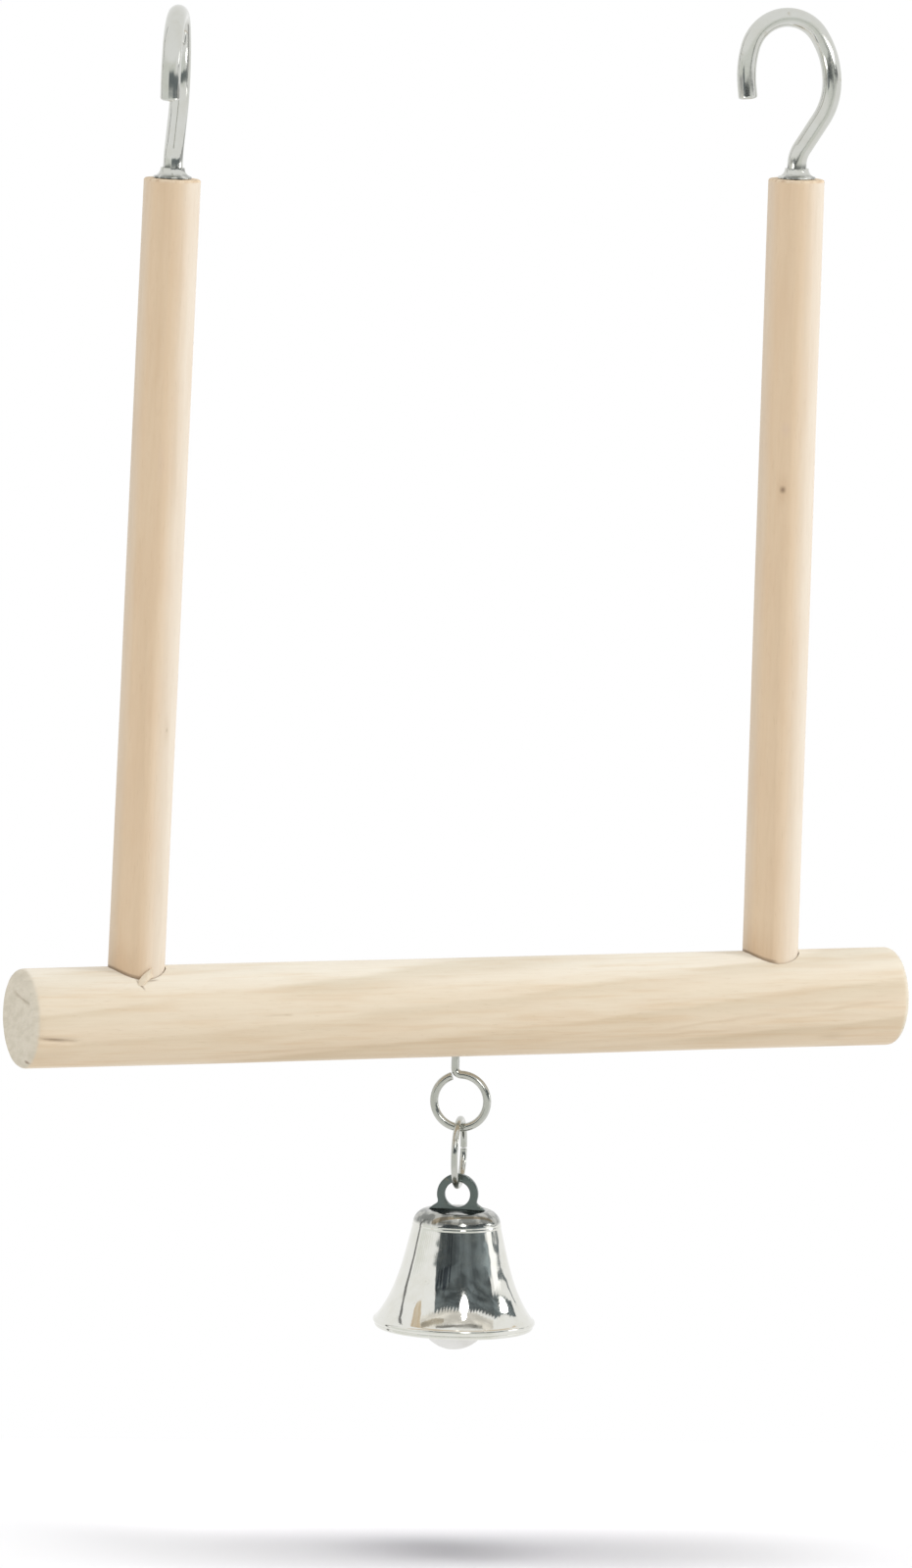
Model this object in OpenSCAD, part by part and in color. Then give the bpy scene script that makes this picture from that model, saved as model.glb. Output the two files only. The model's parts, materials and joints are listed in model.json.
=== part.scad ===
// Bird swing for a cage: a wooden perch on two wooden uprights, hung by two open wire hooks,
// with a small metal bell under the perch.
// Millimetres, +Z up, +X along the perch. The origin is over the middle of the perch,
// at the height of the inner crown of the hooks, where a cage wire carries the swing.

/* [Perch] */
// Diameter of the perch
perch_d = 14; // [12:0.5:20]
// Length of the perch
perch_len = 132; // [125:1:180]
// Bevel round each end of the perch
perch_bevel = 1; // [0.4:0.1:2]

/* [Uprights] */
// Diameter of each upright
upright_d = 8; // [6.5:0.5:10]
// Distance from the perch's left end to the axis of the left upright
left_inset = 17.1; // [14:0.1:30]
// Distance from the perch's right end to the axis of the right upright
right_inset = 19; // [14:0.1:30]
// Lean of the left upright toward the middle
left_lean_angle = 1.1; // [0:0.1:3]
// Lean of the right upright toward the middle
right_lean_angle = 0; // [0:0.1:3]
// Distance from the perch's axis to the uprights' top ends
upright_rise = 116.3; // [60:0.1:160]
// Bevel round the top end of each upright
upright_bevel = 0.3; // [0.1:0.1:0.8]
// Depth of each upright's socket below the perch's top
socket_depth = 10; // [6:0.5:11]
// Room for glue round each upright in its socket
glue_gap = 0.05; // [0.02:0.01:0.1]

/* [Hooks] */
// Diameter of the hooks' wire
hook_wire = 2.7; // [2:0.1:3]
// Straight stem above the upright, before the wire cranks back
stem_h = 2.1; // [1.8:0.1:5]
// Radius of the bend that cranks the wire back from the stem
crank_r = 4; // [3:0.1:6]
// Angle of that crank
crank_angle = 33; // [25:1:38]
// Straight run between the crank and the heel of the bow
crank_run = 4.9; // [3:0.1:6]
// Radius of the bow's heel
heel_r = 9; // [7.5:0.1:12]
// Radius of the bow's back
back_r = 12.2; // [10:0.1:16]
// Angle that the bow's back turns through
back_angle = 35; // [28:1:40]
// Radius of the bow's crown
crown_r = 5.6; // [4.5:0.1:6.5]
// Angle that the crown turns through
crown_angle = 130; // [115:1:140]
// Radius of the bow's open side
tip_r = 14; // [11:0.5:22]
// Angle that the open side turns through
tip_angle = 22; // [16:1:28]
// Straight end of the wire at the tip
tip_run = 2; // [1.8:0.1:4]
// Bevel round the cut tip
tip_bevel = 0.3; // [0.1:0.1:0.6]
// Length of the shank inside the wood
hook_shank = 13; // [8:0.5:20]
// Length of the point at the shank's end
hook_point = 3; // [1:0.5:5]
// Running clearance round the shank
shank_gap = 0.05; // [0.02:0.01:0.1]
// Direction of the left hook's tip, in degrees from +X
left_hook_turn = 243; // [180:1:300]
// Direction of the right hook's tip, in degrees from +X
right_hook_turn = 175; // [90:1:230]

/* [Hook collars] */
// Outer diameter of each collar
collar_d = 5.3; // [4.4:0.1:6.2]
// Height of each collar
collar_h = 1.5; // [1:0.1:1.7]
// Thickness of the collar's edge
collar_edge = 0.35; // [0.2:0.05:0.5]
// Clearance of the wire in its collar
collar_gap = 0.03; // [0.02:0.01:0.1]

/* [Screw eye] */
// Distance of the eye's ring from the middle of the perch, to the right
eye_offset = 0.4; // [-10:0.1:10]
// Diameter of the eye's wire
eye_wire = 1.15; // [0.9:0.05:1.3]
// Inner diameter of the eye
eye_inner_d = 6.35; // [5.5:0.05:8]
// Gap between the perch and the eye's ring, bridged by the neck
eye_neck = 2; // [1.6:0.1:5]
// Radius of the bend from the neck into the ring
neck_bend_r = 0.9; // [0.8:0.05:1.2]
// Angle that the ring leaves open beside its neck
eye_open_angle = 28; // [28:1:45]
// Length of the eye's shank inside the wood
eye_shank = 8; // [5:0.5:9]
// Length of the point at the shank's end
eye_point = 2; // [1:0.1:3]
// Turn of the eye about its shank, with all that hangs on it
eye_turn = -30; // [-90:5:90]

/* [Jump ring] */
// Diameter of the jump ring's wire
link_wire = 0.95; // [0.7:0.05:1.1]
// Inner diameter of the jump ring
link_inner_d = 8.4; // [7.6:0.1:10]
// Gap between the jump ring's two butted ends
link_butt_gap = 0.15; // [0.05:0.05:0.3]
// Clearance where one ring hangs on another
ring_gap = 0.1; // [0.05:0.01:0.15]

/* [Bell] */
// Diameter of the bell at its rim
bell_mouth_d = 22.8; // [21:0.2:28]
// Diameter of the bell at its shoulder
bell_neck_d = 12.4; // [11.8:0.2:14]
// Height from the rim to the shoulder
bell_waist_h = 13.6; // [12.5:0.1:16]
// Height from the shoulder to the flat crown
bell_crown_h = 2.2; // [1.4:0.1:3]
// Diameter of the flat crown
bell_crown_d = 8.4; // [8.2:0.1:9.4]
// Wall of the bell
bell_wall = 0.6; // [0.4:0.05:0.8]
// Thickness of the bead round the rim
rim_bead = 0.9; // [0.7:0.05:1.1]
// Thickness of the lip below the rim bead
lip_bead = 0.7; // [0.6:0.05:0.9]
// Drop from the rim bead to the lip
lip_drop = 0.6; // [0.4:0.05:0.7]
// Thickness of the bead round the shoulder
shoulder_bead = 0.7; // [0.5:0.05:0.8]
// Share of the flare that is straight, where the rest curves out near the rim
flare_share = 0.62; // [0.4:0.02:0.8]

/* [Bell lug] */
// Outer diameter of the lug's ring
lug_ring_d = 5.8; // [5.4:0.1:6.6]
// Diameter of the lug's hole
lug_hole_d = 3.6; // [3:0.1:3.8]
// Height of that hole's centre above the crown
lug_hole_rise = 2.2; // [2:0.1:3]
// Thickness of the lug's plate
lug_t = 1; // [0.8:0.05:1.1]
// Width of the lug's foot on the crown
lug_foot_w = 8; // [6:0.1:8]
// Height of the lug's foot
lug_foot_h = 1.6; // [1:0.1:2]
// Width of the tang that carries the clapper inside the bell
tang_w = 3; // [2.6:0.1:3.4]
// Diameter of the tang's hole
tang_hole_d = 1.5; // [1.2:0.05:1.7]
// Depth of the tang's hole below the crown's outer face
tang_hole_drop = 2.4; // [2.2:0.1:3]
// Clearance of the tang in the crown's slot
slot_gap = 0.05; // [0.02:0.01:0.1]

/* [Clapper] */
// Diameter of the clapper's wire
clapper_wire_d = 0.7; // [0.5:0.05:0.8]
// Inner diameter of the clapper's loop
clapper_loop_d = 3.8; // [3.6:0.1:4.4]
// Length from the loop's top to the middle of the ball
clapper_len = 12.2; // [11:0.1:13]
// Diameter of the clapper's ball
ball_d = 10; // [8:0.2:10.6]
// Depth of the wire's socket in the ball
ball_socket = 3; // [2:0.1:4]
// Clearance of the wire in that socket
ball_gap = 0.03; // [0.02:0.01:0.1]

/* [Hidden] */
$fn = 96;

// One overrun serves every cut, and a bore ends this far past its screw's point
overrun = 1;
bore_end_gap = 0.3;

// The ball between two pieces of wire is this share of the wire, and they stop this short of it
joint_share = 1.01;
joint_cut = 0.06;

// Steps of the bell's two curves
waist_steps = 20;
crown_steps = 8;
// Power of the flare's curved share
flare_power = 4;
// A screw point ends in a flat of this share of its shank
point_share = 0.2;

// Heights of the main stations
hook_seat_h = stem_h + (crank_r + heel_r) * sin(crank_angle) + crank_run * cos(crank_angle)
    + back_r * sin(back_angle) + crown_r * (1 - sin(back_angle)) - hook_wire / 2;
perch_z = -hook_seat_h - upright_rise;
// Height of the uprights' lower ends above the perch's axis
socket_floor_h = perch_d / 2 - socket_depth;

// The rings hang one below another, each resting on the one above with ring_gap between
eye_r = (eye_inner_d + eye_wire) / 2;
eye_z = perch_z - perch_d / 2 - eye_neck - eye_wire / 2 - eye_r;
eye_bottom_z = eye_z - eye_r;
link_r = (link_inner_d + link_wire) / 2;
link_z = eye_bottom_z + eye_wire / 2 + ring_gap - link_inner_d / 2;
link_bottom_z = link_z - link_r;
lug_hole_z = link_bottom_z + link_wire / 2 + ring_gap - lug_hole_d / 2;
crown_z = lug_hole_z - lug_hole_rise;
rim_z = crown_z - bell_crown_h - bell_waist_h;
tang_hole_z = crown_z - tang_hole_drop;
clapper_pivot_z = tang_hole_z - tang_hole_d / 2 + ring_gap + clapper_wire_d / 2;
clapper_loop_r = (clapper_loop_d + clapper_wire_d) / 2;
ball_z = clapper_pivot_z - clapper_len;

wood = [0.91, 0.82, 0.68];
nickel = [0.77, 0.78, 0.78];
steel = [0.85, 0.85, 0.84];

// Wire, drawn from the present place along +Y, with its children set at its end.
// A ball joins each piece of wire to the one before, so its own ends stop just short of both.
module joint(d) {
    sphere(d = d * joint_share);
}

module wire_run(d, length) {
    joint(d);
    rotate([-90, 0, 0])
        translate([0, 0, joint_cut])
            cylinder(d = d, h = length - 2 * joint_cut);
    translate([0, length, 0])
        children();
}

module wire_bend(d, r, angle) {
    cut_angle = asin(joint_cut / r);
    joint(d);
    translate([r, 0, 0])
        rotate([0, 0, 180 - angle + cut_angle])
            rotate_extrude(angle = angle - 2 * cut_angle)
                translate([r, 0])
                    circle(d = d);
}

module wire_right(d, r, angle) {
    wire_bend(d, r, angle);
    translate([r * (1 - cos(angle)), r * sin(angle), 0])
        rotate([0, 0, -angle])
            children();
}

module wire_left(d, r, angle) {
    mirror([1, 0, 0])
        wire_bend(d, r, angle);
    translate([-r * (1 - cos(angle)), r * sin(angle), 0])
        rotate([0, 0, angle])
            children();
}

// Screw shank with its point, from the origin down
module shank(d, length, point) {
    translate([0, 0, -length + point])
        cylinder(d = d, h = length - point);
    translate([0, 0, -length])
        cylinder(d1 = d * point_share, d2 = d, h = point);
}

// A full ring of wire about the Z axis
module bead(d, r) {
    rotate_extrude()
        translate([r, 0])
            circle(d = d);
}

// What hangs under the perch is turned with the screw eye
module under_perch(z) {
    translate([eye_offset, 0, z])
        rotate([0, 0, eye_turn])
            children();
}

// Along an upright's axis, at height h above the perch's axis
module along_upright(side, h) {
    place = side < 0 ? left_inset - perch_len / 2 : perch_len / 2 - right_inset;
    translate([place, 0, perch_z])
        rotate([0, side < 0 ? left_lean_angle : -right_lean_angle, 0])
            translate([0, 0, h])
                children();
}

// A round bar along Z, bevelled at its top end
module bevelled_bar(d, length, bevel) {
    cylinder(d = d, h = length - bevel);
    translate([0, 0, length - bevel])
        cylinder(d1 = d, d2 = d - 2 * bevel, h = bevel);
}

module perch() {
    color(wood)
        difference() {
            translate([0, 0, perch_z])
                for (side = [0, 1])
                    mirror([side, 0, 0])
                        rotate([0, 90, 0])
                            bevelled_bar(perch_d, perch_len / 2, perch_bevel);
            for (side = [-1, 1])
                along_upright(side, socket_floor_h)
                    cylinder(d = upright_d + 2 * glue_gap, h = socket_depth + overrun);
            under_perch(perch_z - perch_d / 2)
                translate([-neck_bend_r, 0, -overrun])
                    cylinder(d = eye_wire + 2 * shank_gap, h = eye_shank + bore_end_gap + overrun);
        }
}

module upright(side) {
    color(wood)
        difference() {
            along_upright(side, socket_floor_h)
                bevelled_bar(upright_d, upright_rise - socket_floor_h, upright_bevel);
            along_upright(side, upright_rise - hook_shank - bore_end_gap)
                cylinder(d = hook_wire + 2 * shank_gap, h = hook_shank + bore_end_gap + overrun);
        }
}

module upright_left() {
    upright(-1);
}

module upright_right() {
    upright(1);
}

// Question-mark hook: stem, crank, bow and cut tip, on a screw shank
module hook(side, turn) {
    color(nickel)
        along_upright(side, upright_rise)
            rotate([0, 0, turn]) {
                shank(hook_wire, hook_shank, hook_point);
                rotate([90, 0, 0])
                    wire_run(hook_wire, stem_h)
                        wire_left(hook_wire, crank_r, crank_angle)
                            wire_run(hook_wire, crank_run)
                                wire_right(hook_wire, heel_r, crank_angle)
                                    wire_right(hook_wire, back_r, back_angle)
                                        wire_right(hook_wire, crown_r, crown_angle)
                                            wire_right(hook_wire, tip_r, tip_angle)
                                                hook_tip();
            }
}

module hook_tip() {
    joint(hook_wire);
    rotate([-90, 0, 0])
        translate([0, 0, joint_cut])
            bevelled_bar(hook_wire, tip_run - joint_cut, tip_bevel);
}

module hook_left() {
    hook(-1, left_hook_turn);
}

module hook_right() {
    hook(1, right_hook_turn);
}

// Dished collar that seats each hook on its upright
module hook_collar(side) {
    bore_r = hook_wire / 2 + collar_gap;
    rise = collar_h - collar_edge;
    color(nickel)
        along_upright(side, upright_rise)
            rotate_extrude()
                polygon(concat(
                    [[bore_r, 0], [collar_d / 2, 0]],
                    [for (a = [0:90 / crown_steps:90])
                        [collar_d / 2 - (collar_d / 2 - bore_r - collar_edge) * sin(a),
                            collar_edge + rise * (1 - cos(a))]],
                    [[bore_r, collar_h]]
                ));
}

module hook_collar_left() {
    hook_collar(-1);
}

module hook_collar_right() {
    hook_collar(1);
}

// Screw eye: the neck bends into a ring whose free end stops beside it
module screw_eye() {
    neck_run = eye_neck + eye_wire / 2 - neck_bend_r;
    color(nickel)
        under_perch(perch_z - perch_d / 2)
            translate([-neck_bend_r, 0, 0]) {
                mirror([0, 0, 1])
                    shank(eye_wire, eye_shank, eye_point);
                rotate([-90, 0, 0])
                    wire_run(eye_wire, neck_run)
                        wire_right(eye_wire, neck_bend_r, 90)
                            wire_left(eye_wire, eye_r, 360 - eye_open_angle);
            }
}

// Jump ring, cut open at the back, where its two ends butt
module jump_ring() {
    color(nickel)
        under_perch(link_z)
            difference() {
                rotate([0, 90, 0])
                    bead(link_wire, link_r);
                translate([-link_wire, link_r - link_wire, -link_butt_gap / 2])
                    cube([2 * link_wire, 2 * link_wire, link_butt_gap]);
            }
}

// Radius of the bell's outside, where down runs from 0 at the shoulder to 1 at the rim
function waist_r(down) = bell_neck_d / 2
    + (bell_mouth_d - bell_neck_d) / 2 * (flare_share * down + (1 - flare_share) * pow(down, flare_power));

// One face of the bell from the rim up to the middle of the crown, set in from the outside
function bell_face(inset) = concat(
    [for (i = [0:waist_steps])
        [waist_r(1 - i / waist_steps) - inset, bell_waist_h * i / waist_steps]],
    [for (i = [1:crown_steps])
        let (a = 90 * i / crown_steps)
        [bell_crown_d / 2 + (bell_neck_d - bell_crown_d) / 2 * cos(a) - inset,
            bell_waist_h + bell_crown_h * sin(a) - inset * sin(a)]],
    [[0, bell_waist_h + bell_crown_h - inset]]
);

function reversed(points) = [for (i = [1:len(points)]) points[len(points) - i]];

module bell_shell() {
    color(nickel)
        under_perch(rim_z)
            difference() {
                union() {
                    rotate_extrude()
                        polygon(concat(bell_face(0), reversed(bell_face(bell_wall))));
                    bead(rim_bead, (bell_mouth_d - rim_bead) / 2);
                    translate([0, 0, -lip_drop])
                        bead(lip_bead, (bell_mouth_d - rim_bead) / 2 - bell_wall / 4);
                    translate([0, 0, bell_waist_h])
                        bead(shoulder_bead, (bell_neck_d - bell_wall) / 2);
                }
                translate([0, 0, bell_waist_h + bell_crown_h])
                    cube([tang_w + 2 * slot_gap, lug_t + 2 * slot_gap, 2 * (bell_wall + overrun)], center = true);
            }
}

// Flat lug: the ring above the crown, its foot, and the tang inside the bell
module bell_lug() {
    foot_r = (pow(lug_foot_w / 2, 2) + pow(lug_foot_h, 2)) / (2 * lug_foot_h);
    color(nickel)
        under_perch(crown_z)
            rotate([90, 0, 0])
                linear_extrude(lug_t, center = true)
                    difference() {
                        union() {
                            intersection() {
                                union() {
                                    translate([0, lug_hole_rise])
                                        circle(d = lug_ring_d);
                                    translate([0, lug_foot_h - foot_r])
                                        circle(r = foot_r);
                                }
                                translate([-lug_foot_w / 2, 0])
                                    square([lug_foot_w, lug_hole_rise + lug_ring_d]);
                            }
                            translate([-tang_w / 2, -tang_hole_drop])
                                square([tang_w, tang_hole_drop + overrun / 2]);
                            translate([0, -tang_hole_drop])
                                circle(d = tang_w);
                        }
                        translate([0, lug_hole_rise])
                            circle(d = lug_hole_d);
                        translate([0, -tang_hole_drop])
                            circle(d = tang_hole_d);
                    }
}

// Clapper wire: a closed loop through the tang's hole, and a straight shank into the ball
module clapper_wire() {
    loop_bottom = 2 * clapper_loop_r;
    color(nickel)
        under_perch(clapper_pivot_z) {
            translate([0, 0, -clapper_loop_r])
                rotate([0, 90, 0])
                    bead(clapper_wire_d, clapper_loop_r);
            translate([0, 0, -clapper_len + ball_d / 2 - ball_socket])
                cylinder(d = clapper_wire_d, h = clapper_len - ball_d / 2 + ball_socket - loop_bottom);
        }
}

module clapper_ball() {
    color(steel)
        under_perch(ball_z)
            difference() {
                sphere(d = ball_d);
                translate([0, 0, ball_d / 2 - ball_socket])
                    cylinder(d = clapper_wire_d + 2 * ball_gap, h = ball_socket + overrun);
            }
}

perch();
upright_left();
upright_right();
hook_left();
hook_right();
hook_collar_left();
hook_collar_right();
screw_eye();
jump_ring();
bell_shell();
bell_lug();
clapper_wire();
clapper_ball();
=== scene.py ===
"""A bird swing: a wooden perch on two wooden uprights, two wire hooks, and a bell under the perch.

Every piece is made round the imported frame, in metres and in the frame's own place.
Inside this file the sizes of the pieces are written in millimetres.
"""

import json
import math

import bmesh
import bpy
from bpy.props import FloatProperty, FloatVectorProperty, PointerProperty
from mathutils import Matrix, Vector, noise

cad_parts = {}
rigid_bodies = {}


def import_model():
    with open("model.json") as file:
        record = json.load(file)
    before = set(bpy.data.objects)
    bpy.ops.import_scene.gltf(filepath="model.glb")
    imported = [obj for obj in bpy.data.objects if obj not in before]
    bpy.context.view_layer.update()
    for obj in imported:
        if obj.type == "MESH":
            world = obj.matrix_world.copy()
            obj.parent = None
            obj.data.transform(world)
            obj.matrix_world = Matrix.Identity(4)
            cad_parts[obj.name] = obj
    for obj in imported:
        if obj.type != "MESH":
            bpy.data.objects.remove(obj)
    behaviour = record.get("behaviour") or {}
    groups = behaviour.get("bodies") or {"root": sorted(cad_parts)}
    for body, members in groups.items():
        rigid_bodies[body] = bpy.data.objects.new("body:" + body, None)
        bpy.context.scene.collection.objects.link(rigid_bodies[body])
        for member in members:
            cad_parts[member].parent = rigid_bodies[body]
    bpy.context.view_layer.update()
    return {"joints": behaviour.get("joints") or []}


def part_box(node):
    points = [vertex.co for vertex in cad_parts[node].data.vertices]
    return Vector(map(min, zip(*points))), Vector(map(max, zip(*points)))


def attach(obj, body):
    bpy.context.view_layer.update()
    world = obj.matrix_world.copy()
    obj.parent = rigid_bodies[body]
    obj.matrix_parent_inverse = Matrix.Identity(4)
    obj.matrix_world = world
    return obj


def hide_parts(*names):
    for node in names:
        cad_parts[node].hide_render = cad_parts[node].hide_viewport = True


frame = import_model()

bl_info = {
    "name": "Bird swing",
    "version": (1, 0, 0),
    "blender": (4, 5, 0),
    "location": "3D View > Sidebar > Swing",
    "description": "Makes a wooden bird swing with wire hooks and a bell",
    "category": "Add Mesh",
}

MM = 0.001
POLE = 1e-6  # a radius below this is a point on the axis
CREASE = 38  # an edge looks hard where two faces meet at more degrees than this


def tone(red, green, blue):
    """A colour as it looks on a screen, from 0 to 255, as the values that light is worked out in."""
    shares = [c / 255 for c in (red, green, blue)]
    return tuple(c / 12.92 if c <= 0.04045 else ((c + 0.055) / 1.055) ** 2.4 for c in shares)


def node_box(node):
    """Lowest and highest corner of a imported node, in millimetres."""
    low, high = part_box(node)
    return low / MM, high / MM


# sizes and colours


def length(label, about, default, high=1.0):
    """A length that a user may change, in metres."""
    return FloatProperty(
        name=label, description=about, default=default, min=0, max=high, unit="LENGTH", precision=5
    )


def turn(label, about, default):
    """An angle that a user may change. It is given here in degrees."""
    return FloatProperty(name=label, description=about, default=math.radians(default), unit="ROTATION")


def share(label, about, default, high=1.0):
    """A plain number from 0 to high."""
    return FloatProperty(name=label, description=about, default=default, min=0, max=high)


def paint(label, about, default):
    """A colour that a user may change."""
    return FloatVectorProperty(
        name=label, description=about, default=default, min=0, max=1, size=3, subtype="COLOR"
    )


perch_low, perch_high = node_box("perch")
dowel_low, dowel_high = node_box("upright_right")
bell_low, bell_high = node_box("bell_shell")
perch_radius = (perch_high.z - perch_low.z) / 2
perch_axis = (perch_low.z + perch_high.z) / 2
perch_half = (perch_high.x - perch_low.x) / 2
dowel_radius = (dowel_high.x - dowel_low.x) / 2
dowel_length = dowel_high.z - dowel_low.z
bell_x = (bell_low.x + bell_high.x) / 2
seats = {joint["child"]: joint for joint in frame["joints"]}
SIDES = ("left", "right")
ROOM = 0.05  # between a bore and what sits in it
EYE_SHANK = 8.0  # length of the screw eye's thread
EYE_NECK = 0.9  # radius of the bend from the screw eye's shank into its ring
TANG = 1.5  # half the width of the lug's tang, and the radius of its foot
TANG_DROP = 2.4  # from the crown down to the hole in the tang
RING_RISE = 2.2  # from the crown up to the middle of the lug's ring


def seat(side):
    """The middle of an upright's top end in millimetres, and the direction of its axis."""
    joint = seats[side + "_hook"]
    return Vector(joint["pos_m"]) / MM, Vector(joint["axis"]).normalized()


def on_seat(points, side, degrees=0.0):
    """Places points, made about the origin, on the top end of an upright."""
    top, axis = seat(side)
    leaned = Vector((0, 0, 1)).rotation_difference(axis).to_matrix()
    return [leaned @ p + top for p in stand(points, degrees)]


def on_line(points, height):
    """Places points, made about the origin, at a height on the line that the bell hangs on."""
    bell = bpy.context.scene.swing_bell
    return stand(points, math.degrees(bell.hang_turn), (bell_x, 0, height))


class DowelSettings(bpy.types.PropertyGroup):
    """Sizes and wood of the perch and the two uprights."""

    perch_bevel: length("Perch bevel", "Rounding of the perch's two ends", 0.001)
    upright_bevel: length("Upright bevel", "Rounding of the uprights' top ends", 0.00035)
    socket_depth: length("Socket depth", "Depth of each upright's socket below the perch's top", 0.010)
    socket_gap: length("Socket gap", "Room round each upright at the mouth of its socket", 0.0001)
    ring_spacing: length("Growth rings", "Height between two growth lines along the perch", 0.0049)
    run_out: share("Run-out", "How fast the growth lines climb along the perch", 0.09)
    relief: length("Grain relief", "Depth of the grain in the wood's surface", 0.00004)
    # Painted sheen: a paler, more neutral colour along the perch's top stands in for the light that falls
    # on it.
    painted_crest_sheen: paint("Perch's crest", "Colour along the top of the perch", tone(234, 227, 212))
    pale: paint("Pale wood", "Colour of the middle of the perch", tone(226, 212, 189))
    warm: paint("Warm wood", "Colour of the lower side of the perch", tone(232, 213, 185))
    # Painted sheen: the paler, more neutral colour on the uprights' right sides and far left edges stands
    # in for the light that falls on them.
    upright_painted_sheen: paint("Upright's pale wood", "Colour of the uprights' right sides", tone(224, 212, 195))
    upright_warm: paint("Upright's warm wood", "Colour of the uprights", tone(223, 198, 166))
    end_grain: paint("End grain", "Colour of the sawn ends", tone(222, 213, 195))
    # The flaw colour also paints the shade in the corners at the joints and the splinter's shadow.
    flaws_and_painted_shade: paint("Flaws", "Colour of splits, pores and knots", tone(120, 95, 72))


class HookSettings(bpy.types.PropertyGroup):
    """Sizes and finish of the two hooks and their collars."""

    wire: length("Wire", "Diameter of the hooks' wire", 0.0027)
    left_turn: turn("Left hook", "Direction of the left hook's tip", 243)
    right_turn: turn("Right hook", "Direction of the right hook's tip", 175)
    stem: length("Stem", "Straight stem above the wood", 0.0021)
    crank: length("Crank", "Straight run from the stem's bend to the heel", 0.0049)
    heel: length("Heel", "Radius of the bow's heel", 0.009)
    back: length("Back", "Radius of the bow's back", 0.0122)
    crown: length("Crown", "Radius of the bow's crown", 0.0056)
    open_side: length("Open side", "Radius of the bow's open side", 0.014)
    shank: length("Shank", "Length of the screw in the wood", 0.013)
    pitch: length("Thread", "Distance between two turns of the screw's thread", 0.0011)
    collar: length("Collar", "Diameter of the collar under each hook", 0.0053)
    collar_height: length("Collar height", "Height of that collar", 0.0015)
    plate: paint("Plate", "Colour of the hooks' metal plate", tone(208, 209, 204))
    gloss: share("Roughness", "Roughness of the hooks' plate", 0.12)


class BellSettings(bpy.types.PropertyGroup):
    """Sizes and finish of what hangs under the perch."""

    hang_turn: turn("Turn", "Turn of the screw eye, with all that hangs on it", -30)
    eye_wire: length("Eye's wire", "Diameter of the screw eye's wire", 0.00115)
    link_wire: length("Ring's wire", "Diameter of the jump ring's wire", 0.00095)
    mouth: length("Mouth", "Diameter of the bell at its rim", 0.0228)
    neck: length("Neck", "Diameter of the bell at its shoulder", 0.0124)
    waist: length("Waist", "Height from the rim to the shoulder", 0.0136)
    crown: length("Crown", "Height from the shoulder to the flat crown", 0.0022)
    wall: length("Wall", "Thickness of the bell's wall", 0.0006)
    lug: length("Lug", "Thickness of the lug's plate", 0.001)
    ball: length("Ball", "Diameter of the clapper's ball", 0.01)
    plate: paint("Bell's plate", "Colour of the bell's polished plate", tone(226, 226, 220))
    # Painted reflection: the lug's dark plate colour stands in for the dark reflection on its flat face.
    lug_plate: paint("Lug's plate", "Colour of the lug's plate", tone(104, 113, 111))
    ring_plate: paint("Ring's plate", "Colour of the eye's and the ring's plate", tone(192, 193, 187))
    ball_tone: paint("Ball", "Colour of the clapper's ball", tone(226, 225, 222))
    gloss: share("Roughness", "Roughness of the bell's plate", 0.06)


class StageSettings(bpy.types.PropertyGroup):
    """The camera, the lamps, the floor and the cards round the swing."""

    azimuth: turn("Azimuth", "Camera's direction round the swing", -22.18)
    elevation: turn("Elevation", "Camera's height above the horizon", 7.03)
    roll: turn("Roll", "Camera's turn about its own axis", -1.77)
    distance: length("Distance", "From the camera to the point it looks at", 1.7, high=10)
    lens: share("Lens", "Focal length in millimetres", 279.34, high=1000)
    target: FloatVectorProperty(
        name="Target", description="Point that the camera looks at", subtype="TRANSLATION",
        unit="LENGTH", size=3, default=(-0.00178, 0.0, -0.10608),
    )
    floor_drop: length("Floor", "From the swing's hang line down to the floor", 0.2148)
    room_light: share("Room light", "Strength of the soft light from all sides", 0.88, high=4)
    side_light: share("Side light", "Power of the soft lamp on the right", 9.0, high=100)
    front_light: share("Front light", "Power of the small lamp above the camera", 1.2, high=100)
    floor_light: share("Floor light", "Power of the lamp that lights only the floor", 55.0, high=400)


# mixing materials


def sum_of(operation, turned=False):
    """A method that adds one Math node. Turned puts the other value first."""

    def method(self, other):
        values = (other, self) if turned else (self, other)
        return self.finish.maths(operation, *values)

    return method


class Reading:
    """One output of a finish. Sums written with it add their Math nodes."""

    def __init__(self, finish, socket):
        self.finish = finish
        self.socket = socket

    def __abs__(self):
        return self.finish.maths("ABSOLUTE", self)

    __add__ = sum_of("ADD")
    __radd__ = sum_of("ADD", True)
    __sub__ = sum_of("SUBTRACT")
    __rsub__ = sum_of("SUBTRACT", True)
    __mul__ = sum_of("MULTIPLY")
    __rmul__ = sum_of("MULTIPLY", True)
    __truediv__ = sum_of("DIVIDE")
    __rtruediv__ = sum_of("DIVIDE", True)
    __pow__ = sum_of("POWER")
    __rpow__ = sum_of("POWER", True)


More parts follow.
